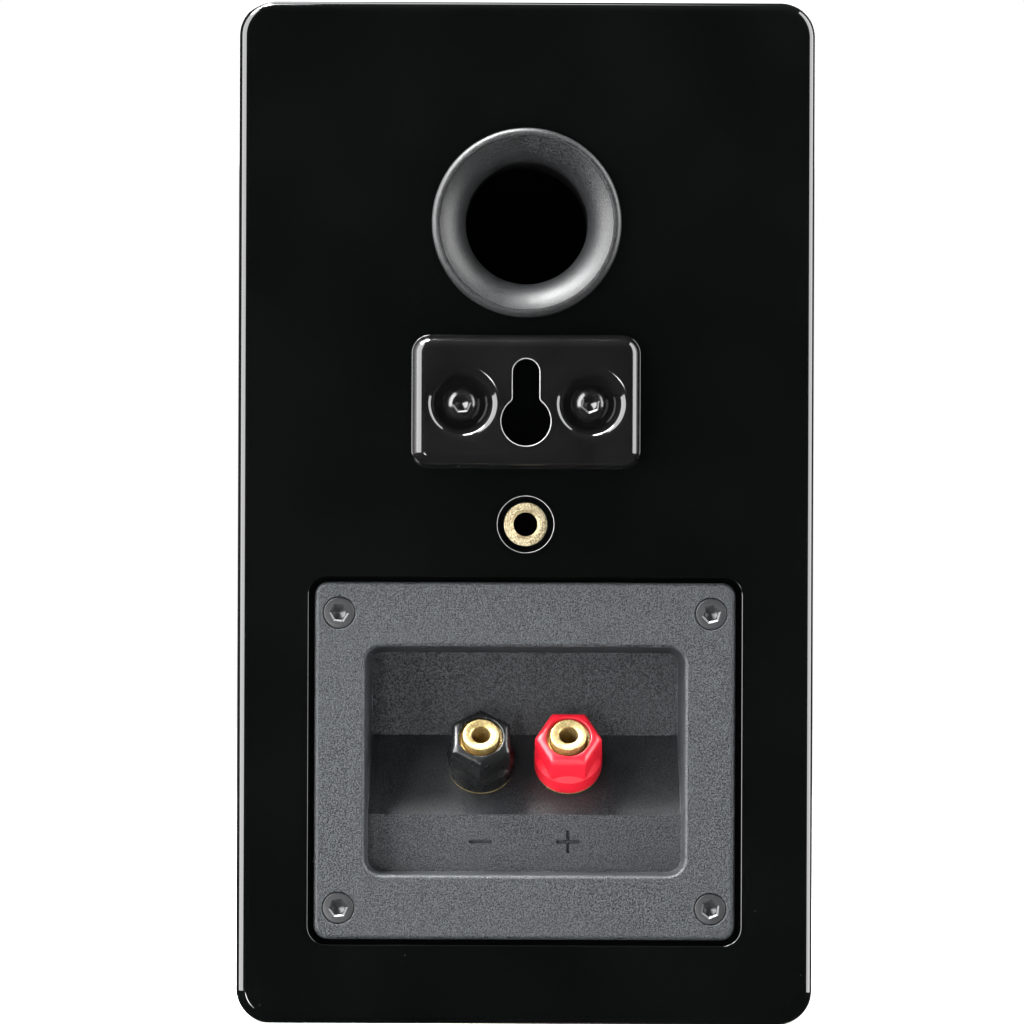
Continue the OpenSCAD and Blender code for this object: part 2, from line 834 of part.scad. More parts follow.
// One capacitor that lies along +X from the origin
module capacitor(can_r, can_l) {
    axis_z = can_r + 0.2;
    leg_r = 0.45;
    leg_out = 1.2;
    translate([0, 0, axis_z]) rotate([0, 90, 0]) cylinder(r = can_r, h = can_l);
    for (side = [0, 1])
        translate([side * can_l, 0, 0]) mirror([1 - side, 0, 0]) {
            translate([0, 0, axis_z]) rotate([0, 90, 0]) cylinder(r = leg_r, h = leg_out);
            translate([leg_out, 0, 0]) cylinder(r = leg_r, h = axis_z);
        }
}

module capacitors() {
    color("gold") {
        translate([4, 11.5, board_top]) capacitor(7, 27);
        translate([8, 20, board_top]) rotate(90) capacitor(5.5, 19);
    }
}

module resistors() {
    resistor_l = 22;
    resistor_w = 8;
    lift = 0.2;
    color("whitesmoke")
    for (x = [-22, 22])
        translate([x, 46, board_top]) {
            translate([0, 0, resistor_w / 2 + lift])
                cube([resistor_l, resistor_w, resistor_w], center = true);
            for (side = [-1, 1]) {
                translate([side * (resistor_l / 2 + 1), 0, 0]) cylinder(r = 0.45, h = resistor_w / 2 + lift);
                translate([side * (resistor_l / 2 + 0.5), 0, resistor_w / 2 + lift])
                    cube([1.4, 0.8, 0.8], center = true);
            }
        }
}

// Routes of the positive leads, and mirrored of the negative ones: from the post's tag to the board, from
// the board to the woofer's tag, and from the board to the tweeter's tag
lead_end_z = board_top + 0.1;
post_lead = [[9.5, 51.6, 66.4], [9.5, 47, 68.6], [8.5, 42, 63], [6.5, 41, 50], [4.5, 42, 35], [3.5, 43, 26],
    [3.5, 43, lead_end_z]];
woofer_lead = [[4, -3, lead_end_z], [4, -3, 28], [5, -7, 50], [5, -8, 90], [5, -13, 110], [5, -26, 114],
    [5, -37, 112], [5, -41.4, 108.3]];
tweeter_lead = [[8, -1, lead_end_z], [8, -1, 30], [10, -2, 60], [11, -4, 100], [11, -9, 122], [9, -22, 136],
    [5, -34, 141], [4, -46.7, 142.4]];
lead_r = 1.1;

module leads(side) {
    steps = 4;
    for (route = [post_lead, woofer_lead, tweeter_lead])
        sweep(bend([for (p = route) [side * p[0], p[1], p[2]]], steps), lead_r);
}
module positive_leads() { color("red") leads(-1); }
module negative_leads() { color("#1a1a1a") leads(1); }

// ---- Woofer ----

module woofer_frame() {
    windows = 6;
    color("#303234")
    out_of_front(z = woofer_z)
        difference() {
            rotate_extrude()
                polygon([[woofer_rim_r, -0.6], [woofer_rim_r, -woofer_rim_t], [49, -woofer_rim_t],
                    [48.6, -6], [36, -29], [36, basket_back], [15, basket_back], [15, basket_floor],
                    [30.5, basket_floor], [30.5, -27], [34, -27], [46.6, -4.4], [47.5, ledge_z],
                    [51.7, ledge_z], [51.7, -0.3], [52, 0], [woofer_rim_r - 0.6, 0]]);
            around(41, windows, 0)
                translate([0, 0, -16.5]) cube([24, 30, 17], center = true);
            around(woofer_screw_circle, woofer_screws_n, 30)
                countersink(driver_screw_head_r, woofer_screw_r, woofer_rim_t + through);
        }
}

module woofer_gasket() {
    color("#101010")
    out_of_front(z = woofer_z)
        translate([0, 0, -woofer_rim_t - driver_gasket_t])
            linear_extrude(driver_gasket_t)
                difference() {
                    circle(woofer_rim_r - 0.3);
                    circle(woofer_cut_r);
                    around(woofer_screw_circle, woofer_screws_n, 30) circle(2.2);
                }
}

module woofer_screws() {
    color("#18191b")
    out_of_front(z = woofer_z)
        around(woofer_screw_circle, woofer_screws_n, 30)
            translate([0, 0, -0.1]) countersunk_screw(driver_screw_head_r, woofer_screw_r, 14, 2.5);
}

module woofer_surround() {
    roll_r = 3.6;
    roll_t = 0.6;
    roll_at = 44;
    color("#151515")
    out_of_front(z = woofer_z)
        rotate_extrude() {
            intersection() {
                translate([roll_at, ledge_z])
                    difference() {
                        circle(roll_r);
                        circle(roll_r - roll_t);
                    }
                translate([roll_at - 5, ledge_z]) square([10, 5]);
            }
            translate([cone_in_r, ledge_z]) square([roll_at - roll_r + 0.3 - cone_in_r, roll_t]);
            translate([roll_at + roll_r - 0.3, ledge_z]) square([51.6 - roll_at - roll_r + 0.3, roll_t]);
        }
}

// Depth of the cone's face at a radius
function cone_face(r) = ledge_z - cone_depth * pow((cone_in_r - r) / (cone_in_r - coil_r), 1.15);

module woofer_cone() {
    cone_t = 0.7;
    steps = 10;
    neck_r = coil_r + gap;
    radii = [for (i = [0:steps]) cone_in_r - gap + (neck_r - cone_in_r + gap) * i / steps];
    color("#26282a")
    out_of_front(z = woofer_z)
        rotate_extrude()
            polygon(concat(
                [[cone_lip_r, ledge_z - cone_t], [cone_lip_r, ledge_z - gap]],
                [for (r = radii) [r, cone_face(r) - gap]],
                [for (i = [steps:-1:1]) [radii[i], cone_face(radii[i]) - cone_t - gap]]
            ));
}

module woofer_dust_cap() {
    base_r = 15.5;
    rise = 5.5;
    t = 0.6;
    base_z = cone_face(base_r);
    r = (base_r * base_r + rise * rise) / (2 * rise);
    color("#26282a")
    out_of_front(z = woofer_z)
        rotate_extrude()
            polygon(concat(
                arc([0, base_z + rise - r], r, asin((r - rise) / r), 90, 12),
                arc([0, base_z + rise - r], r - t, 90, asin((r - rise + 0.3) / (r - t)), 12)
            ));
}

module woofer_voice_coil() {
    color("#b4602c")
    out_of_front(z = woofer_z) {
        ring(coil_r, coil_r - 0.3, -47, -19.6);
        ring(coil_r + 0.5, coil_r, -45, -35);
    }
}

module woofer_spider() {
    steps = 48;
    in_r = coil_r + gap;
    flat_r = 30.4;
    out_r = 33.8;
    t = 0.5;
    waves = 5;
    function wave(r) = 0.9 * sin(360 * waves * (r - in_r) / (flat_r - in_r));
    radii = [for (i = [0:steps]) in_r + (flat_r - in_r) * i / steps];
    color("goldenrod")
    out_of_front(z = woofer_z)
        rotate_extrude()
            polygon(concat(
                [for (r = radii) [r, -27 + wave(r)]],
                [[out_r, -27], [out_r, -27 + t]],
                [for (i = [steps:-1:0]) [radii[i], -27 + t + wave(radii[i])]]
            ));
}

module woofer_top_plate() {
    color("silver")
    out_of_front(z = woofer_z) ring(36, 14, basket_back - top_plate_t, basket_back);
}

module woofer_magnet() {
    top = basket_back - top_plate_t;
    color("#3a3a3c")
    out_of_front(z = woofer_z) ring(39, 20, top - magnet_t, top);
}

module woofer_yoke() {
    pole_r = 12.3;
    vent_r = 3.5;
    face = basket_back - top_plate_t - magnet_t;
    color("silver")
    out_of_front(z = woofer_z)
        rotate_extrude()
            polygon([[vent_r, face - yoke_t], [36, face - yoke_t], [36, face], [pole_r, face],
                [pole_r, basket_back], [vent_r, basket_back]]);
}

// Solder tags: on top of the woofer's basket, and under the tweeter's top plate
module driver_tags() {
    tag_w = 4;
    color("gold") {
        out_of_front(z = woofer_z)
            for (x = [-5, 5]) translate([x - tag_w / 2, 36, -32]) cube([tag_w, 3, 0.8]);
        out_of_front(z = tweeter_z)
            for (x = [-4, 4]) translate([x - tag_w / 2, -31, -26]) cube([tag_w, 0.8, 18]);
    }
}

// ---- Tweeter ----

module tweeter_faceplate() {
    horn_r = 29;
    throat_r = 16.4;
    color("#1c1d1f")
    out_of_front(z = tweeter_z)
        difference() {
            rotate_extrude()
                polygon(concat(
                    [[tweeter_plate_r, -tweeter_plate_t], [tweeter_plate_r, -0.6],
                     [tweeter_plate_r - 0.6, 0]],
                    arc([horn_r, -8.5], 8.5, 90, 118, 4),
                    [[throat_r + 0.5, dome_base + 0.8], [throat_r, dome_base + 0.4],
                     [throat_r, dome_base - gap], [throat_r - 1, dome_base - gap],
                     [throat_r - 1, dome_base - 2.5],
                     [throat_r + 8, dome_base - 2.5], [throat_r + 8, -tweeter_plate_t]]
                ));
            around(tweeter_screw_circle, tweeter_screws_n, 45)
                countersink(driver_screw_head_r, tweeter_screw_r, tweeter_plate_t + through);
        }
}

module tweeter_gasket() {
    color("#101010")
    out_of_front(z = tweeter_z)
        translate([0, 0, -tweeter_plate_t - driver_gasket_t])
            linear_extrude(driver_gasket_t)
                difference() {
                    circle(tweeter_plate_r - 0.3);
                    circle(tweeter_cut_r);
                    around(tweeter_screw_circle, tweeter_screws_n, 45) circle(1.9);
                }
}

module tweeter_screws() {
    color("#18191b")
    out_of_front(z = tweeter_z)
        around(tweeter_screw_circle, tweeter_screws_n, 45)
            translate([0, 0, -0.1]) countersunk_screw(driver_screw_head_r, tweeter_screw_r, 12, 2.5);
}

module tweeter_surround() {
    roll_at = dome_r + 1.7;
    color("#151515")
    out_of_front(z = tweeter_z)
        rotate_extrude() {
            intersection() {
                translate([roll_at, dome_base])
                    difference() {
                        circle(1.3);
                        circle(1);
                    }
                translate([roll_at - 2, dome_base]) square([4, 2]);
            }
            translate([roll_at + 1.1, dome_base]) square([0.8, 0.3]);
        }
}

module tweeter_dome() {
    t = 0.35;
    r = (dome_r * dome_r + dome_h * dome_h) / (2 * dome_h);
    color("silver")
    out_of_front(z = tweeter_z)
        rotate_extrude()
            polygon(concat(
                [[dome_r + 0.35, dome_base], [dome_r + 0.35, dome_base + t]],
                arc([0, dome_base + t + dome_h - r], r, asin((r - dome_h) / r), 90, 12),
                arc([0, dome_base + t + dome_h - r], r - t, 90, asin((r - dome_h - t) / (r - t)), 12)
            ));
}

module tweeter_voice_coil() {
    color("#b4602c")
    out_of_front(z = tweeter_z) {
        ring(12.55, 12.35, -11, dome_base - gap);
        ring(12.85, 12.55, -10.6, -8.2);
    }
}

module tweeter_top_plate() {
    color("silver")
    out_of_front(z = tweeter_z) ring(30, 13.2, -10.8, dome_base - 2.5 - gap);
}

module tweeter_magnet() {
    color("#3a3a3c")
    out_of_front(z = tweeter_z) ring(29, 17, -19, -10.8);
}

module tweeter_yoke() {
    vent_r = 4;
    color("silver")
    out_of_front(z = tweeter_z)
        rotate_extrude()
            polygon([[vent_r, -22.5], [28, -22.5], [28, -19], [12, -19], [12, -7.6], [vent_r, -7.6]]);
}

module tweeter_rear_chamber() {
    depth = 13;
    color("#202224")
    out_of_front(z = tweeter_z)
        rotate_extrude()
            polygon([[0, -22.5 - depth], [20, -22.5 - depth], [21, -21.5 - depth], [21, -22.5],
                [19.2, -22.5], [19.2, -20.7 - depth], [0, -20.7 - depth]]);
}

// ---- Grille ----

module grille_frame() {
    border = 11;
    bar_h = 9;
    bar_z = 129;
    window_w = grille_w - 2 * border;
    window_bottom = mid_z - grille_h / 2 + border;
    window_top = mid_z + grille_h / 2 - border;
    color("#1a1a1a")
    difference() {
        out_of_front(z = mid_z)
            translate([0, 0, grille_gap])
                rounded_plate(grille_w - 2 * cloth_t - 2 * gap, grille_h - 2 * cloth_t - 2 * gap,
                    grille_t - gap, 6, 2);
        for (span = [[window_bottom, bar_z - bar_h / 2], [bar_z + bar_h / 2, window_top]])
            out_of_front(z = (span[0] + span[1]) / 2)
                linear_extrude(2 * grille_t) rounded_rect(window_w, span[1] - span[0], 8);
        for (x = [-1, 1], z = [peg_inset, cabinet_h - peg_inset])
            out_of_front(x = x * peg_x, z = z) cylinder(r = peg_r + gap, h = grille_gap + 4 + gap);
    }
}

// Cloth that is stretched over the frame's front and sides
module grille_cloth() {
    color("#141414")
    out_of_front(z = mid_z)
        translate([0, 0, grille_gap])
            difference() {
                rounded_plate(grille_w, grille_h, grille_t + cloth_t, 6 + cloth_t, 2 + cloth_t);
                translate([0, 0, -through])
                    rounded_plate(grille_w - 2 * cloth_t, grille_h - 2 * cloth_t,
                        grille_t + through, 6 + gap, 2);
            }
}

module grille_pegs() {
    color("#1a1a1a")
    for (x = [-1, 1], z = [peg_inset, cabinet_h - peg_inset])
        out_of_front(x = x * peg_x, z = z)
            rotate_extrude()
                polygon([[0, grille_gap + 4], [peg_r, grille_gap + 4], [peg_r, -peg_l + 4],
                    [peg_tip_r, -peg_l + 2.4], [peg_tip_r, -peg_l + 1.6], [1, -peg_l], [0, -peg_l]]);
}

module grille_cups() {
    bore_r = peg_tip_r + gap;
    color("#101010")
    for (x = [-1, 1], z = [peg_inset, cabinet_h - peg_inset])
        out_of_front(x = x * peg_x, z = z)
            rotate_extrude()
                polygon([[0, -cup_l], [cup_r, -cup_l], [cup_r, 0], [cup_flange_r, 0],
                    [cup_flange_r, grille_gap], [bore_r, grille_gap], [bore_r, -cup_l + 1],
                    [0, -cup_l + 1]]);
}

// ---- What is drawn ----

cabinet();
front_baffle();
brace();
wadding();
port_flare();
port_tube();
port_inner_flare();
wall_bracket();
bracket_screws();
threaded_insert();
terminal_plate();
terminal_gasket();
terminal_screws();
negative_stud();
positive_stud();
negative_clamp_washer();
positive_clamp_washer();
negative_cap();
positive_cap();
negative_cap_bush();
positive_cap_bush();
post_lock_washers();
post_tags();
post_nuts();
crossover_board();
crossover_standoffs();
crossover_screws();
woofer_inductor();
tweeter_inductor();
inductor_bobbins();
capacitors();
resistors();
positive_leads();
negative_leads();
woofer_frame();
woofer_gasket();
woofer_screws();
woofer_surround();
woofer_cone();
woofer_dust_cap();
woofer_voice_coil();
woofer_spider();
woofer_top_plate();
woofer_magnet();
woofer_yoke();
driver_tags();
tweeter_faceplate();
tweeter_gasket();
tweeter_screws();
tweeter_surround();
tweeter_dome();
tweeter_voice_coil();
tweeter_top_plate();
tweeter_magnet();
tweeter_yoke();
tweeter_rear_chamber();
grille_frame();
grille_cloth();
grille_pegs();
grille_cups();
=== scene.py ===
from math import acos, asin, atan2, copysign, cos, degrees, pi, radians, sin, sqrt, tan

import bmesh
import bpy
import numpy as np
from mathutils import Matrix, Vector, noise
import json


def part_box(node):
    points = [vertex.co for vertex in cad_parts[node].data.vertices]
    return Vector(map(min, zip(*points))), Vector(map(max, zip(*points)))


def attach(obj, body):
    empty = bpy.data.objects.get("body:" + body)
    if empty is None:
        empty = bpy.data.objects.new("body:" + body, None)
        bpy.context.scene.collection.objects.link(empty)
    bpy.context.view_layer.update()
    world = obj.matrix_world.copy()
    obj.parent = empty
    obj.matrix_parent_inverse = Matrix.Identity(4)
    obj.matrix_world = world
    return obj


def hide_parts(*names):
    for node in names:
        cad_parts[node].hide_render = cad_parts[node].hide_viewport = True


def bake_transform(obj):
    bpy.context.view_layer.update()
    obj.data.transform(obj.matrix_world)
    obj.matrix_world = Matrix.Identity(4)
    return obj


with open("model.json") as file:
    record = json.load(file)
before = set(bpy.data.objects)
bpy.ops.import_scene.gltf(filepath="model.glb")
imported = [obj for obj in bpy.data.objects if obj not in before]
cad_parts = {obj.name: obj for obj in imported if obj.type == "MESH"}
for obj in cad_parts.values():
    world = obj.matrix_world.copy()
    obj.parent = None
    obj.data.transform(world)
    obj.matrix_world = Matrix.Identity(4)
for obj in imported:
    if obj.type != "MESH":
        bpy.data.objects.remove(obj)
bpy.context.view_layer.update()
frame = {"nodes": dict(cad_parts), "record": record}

# Shapes are in millimetres, each in the local frame of what it sits on; placing one turns it into metres.
MM = 0.001
REAR_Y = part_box("cabinet")[1].y / MM
FRONT_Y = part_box("front_baffle")[0].y / MM
SEAM_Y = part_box("front_baffle")[1].y / MM
CABINET_W = (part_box("cabinet")[1].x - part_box("cabinet")[0].x) / MM
CABINET_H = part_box("cabinet")[1].z / MM
MID_Z = CABINET_H / 2
WALL, REAR_WALL = 12.0, 15.0
CORNER_R, REAR_EDGE_R, BAFFLE_EDGE_R = 7.5, 2.2, 2.5
CUT_THROUGH = 1.0

PORT_Z, PORT_R, COLLAR_R, FLARE_DEPTH = 174.0, 13.3, 17.2, 14.0
BRACKET_W, BRACKET_H, BRACKET_T, BRACKET_Z = 49.7, 29.0, 4.8, 135.1
BRACKET_PITCH, DISH_Z, SHEET_T = 27.9, 134.7, 1.2
KEYHOLE_Z, KEYHOLE_TOP_Z, KEYHOLE_R, SLOT_R = 130.9, 141.5, 5.55, 3.0
INSERT_Z, INSERT_SINK, INSERT_L, INSERT_R, INSERT_BORE_R = 108.5, 1.5, 12.0, 4.75, 2.6
COUNTERBORE_R = 6.1

PLATE_Z, PLATE_W, PLATE_H, PLATE_T, PLATE_SINK = 57.1, 91.4, 77.6, 3.0, 0.6
PLATE_Y = REAR_Y - PLATE_SINK
REBATE_DEPTH, REBATE_W, REBATE_H = 4.2, 94.0, 80.0
CUTOUT_W, CUTOUT_H = 75.1, 55.2
RECESS_W, RECESS_H, RECESS_CORNER_R, RECESS_WALL = 69.5, 49.6, 3.7, 2.2
SHELF_TOP, SHELF_BOTTOM, LOWER_DEPTH = 5.4, -11.8, 7.2
POST_TILT = radians(32)
UPPER_DEPTH = LOWER_DEPTH + (SHELF_TOP - SHELF_BOTTOM) * tan(POST_TILT)
PLATE_SCREW_X, PLATE_SCREW_Z, PLATE_SCREW_R, PLATE_SCREW_HEAD_R = 40.4, 32.05, 1.75, 3.4
SOCKET_FLATS, SCREW_SINK, SCREW_RIM_H = 2.9, 0.1, 0.4
POST_X, POST_Z = 9.525, 55.9
POST_Y = PLATE_Y - LOWER_DEPTH - (POST_Z - PLATE_Z - SHELF_BOTTOM) * tan(POST_TILT)
STUD_R, STUD_END, SOCKET_R, SOCKET_DEPTH = 3.9, 13.0, 2.05, 16.0
FLANGE_R, FLANGE_T, WIRE_HOLE_H = 7.2, 0.4, 2.8
CAP_BOTTOM, CAP_TOP, CAP_R, CAP_FLATS, BAND_T = 0.55, 12.2, 7.4, 12.8, 4.2
BUSH_R, BUSH_TOP, WASHER_BOTTOM, WASHER_T, WASHER_R = 5.0, 10.6, 0.45, 0.8, 6.1

WOOFER_Z, TWEETER_Z = 69.0, 173.0
# Each driver's name, axis height, seat radius and cut-out radius
DRIVER_SEATS = (("woofer", WOOFER_Z, 59.3, 49.5), ("tweeter", TWEETER_Z, 41.3, 32.0))
# Each driver's screws: how many, on what circle, from what angle, their radius and length
DRIVER_SCREWS = {"woofer": (6, 55.3, 30, 1.75, 14.0), "tweeter": (4, 36.0, 45, 1.5, 12.0)}
SEAT_DEPTH, DRIVER_HOLE_DEPTH, DRIVER_HEAD_R = 4.5, 14.5, 2.9
CUP_X, CUP_Z, CUP_HOLE_R, CUP_HOLE_DEPTH = 54.5, 8.5, 4.05, 11.0
GRILLE_W, GRILLE_H, GRILLE_T, GRILLE_GAP, CLOTH_T = 121.0, 218.0, 7.5, 0.5, 0.5


# ---- Places ----

def placed(x, y, z, local_y, local_z):
    """Frame at a point in millimetres: local Y and Z along two world directions, local X along +X."""
    turn = Matrix(((1, local_y[0], local_z[0]), (0, local_y[1], local_z[1]), (0, local_y[2], local_z[2])))
    return Matrix.Translation(Vector((x, y, z)) * MM) @ turn.to_4x4() @ Matrix.Scale(MM, 4)


def out_of_rear(x=0.0, z=0.0, y=REAR_Y):
    return placed(x, y, z, (0, 0, -1), (0, 1, 0))


def out_of_front(x=0.0, z=0.0):
    return placed(x, FRONT_Y, z, (0, 0, 1), (0, -1, 0))


def along_post(side):
    s, c = sin(POST_TILT), cos(POST_TILT)
    return placed(side * POST_X, POST_Y, POST_Z, (0, s, -c), (0, c, s))


def around(count, circle_r, first):
    """Points evenly spaced on a circle, from a first angle."""
    angles = [radians(first + 360 * k / count) for k in range(count)]
    return [(circle_r * cos(a), circle_r * sin(a)) for a in angles]


def corners(x, z):
    """The four points a distance to either side, and a distance above and below."""
    return [(-x, -z), (-x, z), (x, -z), (x, z)]


# ---- Outlines ----

def rounded(points, closed=True, steps=6):
    """Outline whose corners are arcs: each point is (x, y) or (x, y, radius)."""
    out, n = [], len(points)
    for i, p in enumerate(points):
        here = np.array(p[:2], float)
        radius = p[2] if len(p) > 2 else 0
        if radius <= 0 or (not closed and i in (0, n - 1)):
            out.append(tuple(here))
            continue
        to_last = np.array(points[i - 1][:2], float) - here
        to_next = np.array(points[(i + 1) % n][:2], float) - here
        length_last, length_next = np.linalg.norm(to_last), np.linalg.norm(to_next)
        to_last, to_next = to_last / length_last, to_next / length_next
        half = acos(float(np.clip(to_last @ to_next, -1, 1))) / 2
        reach = min(radius / tan(half), 0.49 * length_last, 0.49 * length_next)
        radius = reach * tan(half)
        middle = to_last + to_next
        centre = here + middle / np.linalg.norm(middle) * radius / sin(half)
        first, last = here + to_last * reach - centre, here + to_next * reach - centre
        start = atan2(first[1], first[0])
        sweep = (atan2(last[1], last[0]) - start + pi) % (2 * pi) - pi
        for k in range(steps + 1):
            a = start + sweep * k / steps
            out.append((centre[0] + radius * cos(a), centre[1] + radius * sin(a)))
    return out


def rect_outline(w, h, r, steps=10):
    """Rounded rectangle, anticlockwise."""
    out = []
    for sx, sy, first in ((1, 1, 0), (-1, 1, 90), (-1, -1, 180), (1, -1, 270)):
        for k in range(steps + 1):
            a = radians(first + 90 * k / steps)
            out.append((sx * (w / 2 - r) + r * cos(a), sy * (h / 2 - r) + r * sin(a)))
    return out


def grown_rect(w, h, r, steps=10):
    """The rounded rectangle as a function of how far it has grown."""
    return lambda grow: rect_outline(w + 2 * grow, h + 2 * grow, r + grow, steps)


def keyhole_outline(grow=0.0):
    """Keyhole about its wide end's middle, with the slot towards local -Y and small fillets at the step."""
    fillet = 1.1 - grow
    wide, slot, slot_y = KEYHOLE_R - 0.2 + grow, SLOT_R - 0.1 + grow, KEYHOLE_Z - KEYHOLE_TOP_Z
    fx = slot + fillet
    fy = -sqrt((wide + fillet) ** 2 - fx ** 2)
    meet = atan2(fy, fx)
    out = [(wide * cos(a), wide * sin(a)) for a in np.linspace(meet, pi - meet, 49)]
    turn = np.linspace(meet, 0, 6)[1:]
    out += [(-fx + fillet * cos(a), fy - fillet * sin(a)) for a in turn]
    out += [(-slot * cos(a), slot_y - slot * sin(a)) for a in np.linspace(0, pi, 25)]
    out += [(fx - fillet * cos(a), fy - fillet * sin(a)) for a in turn[::-1]]
    return out


def hexagon(flats, grow=0.0):
    return around(6, (flats / 2 + grow) / cos(pi / 6), 0)


def arc(cx, cy, r, first, last, steps):
    return [(cx + r * cos(radians(a)), cy + r * sin(radians(a)))
            for a in np.linspace(first, last, steps + 1)]


# ---- Meshes ----

def in_scene(name, data):
    obj = bpy.data.objects.new(name, data)
    bpy.context.scene.collection.objects.link(obj)
    return obj


def new_piece(name, points, faces, place):
    mesh = bpy.data.meshes.new(name)
    mesh.from_pydata([place @ Vector(p) for p in points], [], faces)
    bm = bmesh.new()
    bm.from_mesh(mesh)
    bmesh.ops.remove_doubles(bm, verts=bm.verts, dist=1e-8)
    bmesh.ops.recalc_face_normals(bm, faces=bm.faces)
    bm.to_mesh(mesh)
    bm.free()
    return in_scene(name, mesh)


def loft(name, rings, place, ring_closed=False):
    """Skin over rings of equally many (x, y, z) points, capped at both ends or closed into a loop."""
    count, n = len(rings), len(rings[0])
    points = [p for ring in rings for p in ring]
    faces = []
    for i in range(count if ring_closed else count - 1):
        a, b = i * n, (i + 1) % count * n
        faces += [(a + k, a + (k + 1) % n, b + (k + 1) % n, b + k) for k in range(n)]
    if not ring_closed:
        faces += [tuple(range(n))[::-1], tuple(range((count - 1) * n, count * n))]
    return new_piece(name, points, faces, place)


def lathe(name, profile, place, steps=96, closed=True):
    """Turned piece from (radius, height) points; a point on the axis becomes a pole."""
    points, rings, faces = [], [], []
    for r, z in profile:
        if r < 1e-6:
            rings.append([len(points)])
            points.append((0, 0, z))
        else:
            rings.append(list(range(len(points), len(points) + steps)))
            points += [(x, y, z) for x, y in around(steps, r, 0)]
    pairs = list(zip(rings, rings[1:])) + ([(rings[-1], rings[0])] if closed else [])
    for a, b in pairs:
        if len(a) == 1 and len(b) == 1:
            continue
        for k in range(steps):
            n = (k + 1) % steps
            if len(a) == 1:
                faces.append((a[0], b[n], b[k]))
            elif len(b) == 1:
                faces.append((a[k], a[n], b[0]))
            else:
                faces.append((a[k], a[n], b[n], b[k]))
    return new_piece(name, points, faces, place)


def layers(outline, heights):
    """Rings for a loft: outline(grow) at each (grow, height)."""
    return [[(x, y, z) for x, y in outline(grow)] for grow, z in heights]


def straight_cutter(outline, bottom, top, place):
    return loft("cutter", [[(x, y, z) for x, y in outline] for z in (bottom, top)], place)


def round_cutter(r, bottom, top, place, steps=48):
    return lathe("cutter", [(0, bottom), (r, bottom), (r, top), (0, top)], place, steps)


def rounded_edge(r, top, steps=8):
    """(grow, height) of an edge that rounds inwards up to a flat top."""
    return [(-r + r * cos(a), top - r + r * sin(a)) for a in np.linspace(0, pi / 2, steps + 1)]


def flared_edge(r, top, steps=5):
    """(grow, height) of a cutter that leaves a rounded rim at a flat face, and then runs out past it."""
    clear = 0.003
    curve = [(r - r * cos(a), top - r + r * sin(a) + clear)
             for a in np.linspace(0, pi / 2, steps + 1)]
    return curve + [(r, top + CUT_THROUGH)]


def settle(obj):
    """Applies an object's modifiers."""
    bpy.context.view_layer.update()
    depsgraph = bpy.context.evaluated_depsgraph_get()
    mesh = bpy.data.meshes.new_from_object(obj.evaluated_get(depsgraph))
    obj.modifiers.clear()
    obj.data = mesh
    return obj


def combine(obj, others, operation="DIFFERENCE"):
    for other in others:
        step = obj.modifiers.new("combine", "BOOLEAN")
        step.object, step.operation, step.solver = other, operation, "MANIFOLD"
    settle(obj)
    for other in others:
        bpy.data.objects.remove(other)
    return obj


def bevelled(obj, width, angle=40, segments=3):
    edge = obj.modifiers.new("edges", "BEVEL")
    edge.width, edge.segments, edge.limit_method = width * MM, segments, "ANGLE"
    edge.angle_limit = radians(angle)
    return settle(obj)


def joined(name, objects):
    bm = bmesh.new()
    for o in objects:
        bm.from_mesh(o.data)
        bpy.data.objects.remove(o)
    mesh = bpy.data.meshes.new(name)
    bm.to_mesh(mesh)
    bm.free()
    return in_scene(name, mesh)


def shade(obj, material, smooth=35):
    """One material, smooth except over edges sharper than an angle; flat faces keep flat normals."""
    obj.data.materials.clear()
    obj.data.materials.append(material)
    for polygon in obj.data.polygons:
        polygon.use_smooth, polygon.material_index = True, 0
    obj.data.set_sharp_from_angle(angle=radians(smooth))
    normals = obj.modifiers.new("normals", "WEIGHTED_NORMAL")
    normals.keep_sharp, normals.weight = True, 60


def paint_rim_highlight(obj, centre_z, half_w, half_h, top):
    """Paints a lighter grey on the rounded rim of a hole in the rear, as a painted highlight: faces near one
    level, inside a half width and height.
    """
    obj.data.materials.append(MATERIALS["rim_highlight_paint"])
    index, reach = len(obj.data.materials) - 1, 0.4
    for face in obj.data.polygons:
        x, y, z = face.center / MM
        inside = abs(x) < half_w and abs(z - centre_z) < half_h and abs(y - top) < reach
        if inside and 0.1 < face.normal.y < 0.97 and face.normal.x * x < 0.001:
            face.material_index = index


def fit(obj, slot, body, nodes, smooth=35):
    """Finishes a piece: its material, the body it rides on and the CAD nodes it stands for."""
    shade(obj, MATERIALS[slot], smooth)
    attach(obj, body)
    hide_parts(*nodes)
    return obj


# ---- Materials ----

def ramped(tree, source, stops, colours):
    """Runs between two colours while a value runs between two stops."""
    ramp = tree.nodes.new("ShaderNodeValToRGB")
    for element, stop, colour in zip(ramp.color_ramp.elements, stops, colours):
        element.position, element.color = stop, (*colour, 1)
    tree.links.new(source, ramp.inputs["Fac"])
    return ramp.outputs["Color"]


def remapped(tree, source, start, result):
    """Turns one range of a value into another."""
    node = tree.nodes.new("ShaderNodeMapRange")
    for socket, value in zip(("From Min", "From Max", "To Min", "To Max"), (*start, *result)):
        node.inputs[socket].default_value = value
    tree.links.new(source, node.inputs["Value"])
    return node.outputs["Result"]


def embossed(tree, height, depth):
    """Gives the shader's surface a relief of a depth (mm)."""
    bump = tree.nodes.new("ShaderNodeBump")
    bump.inputs["Distance"].default_value = depth * MM
    tree.links.new(height, bump.inputs["Height"])
    tree.links.new(bump.outputs["Normal"], tree.nodes["Principled BSDF"].inputs["Normal"])


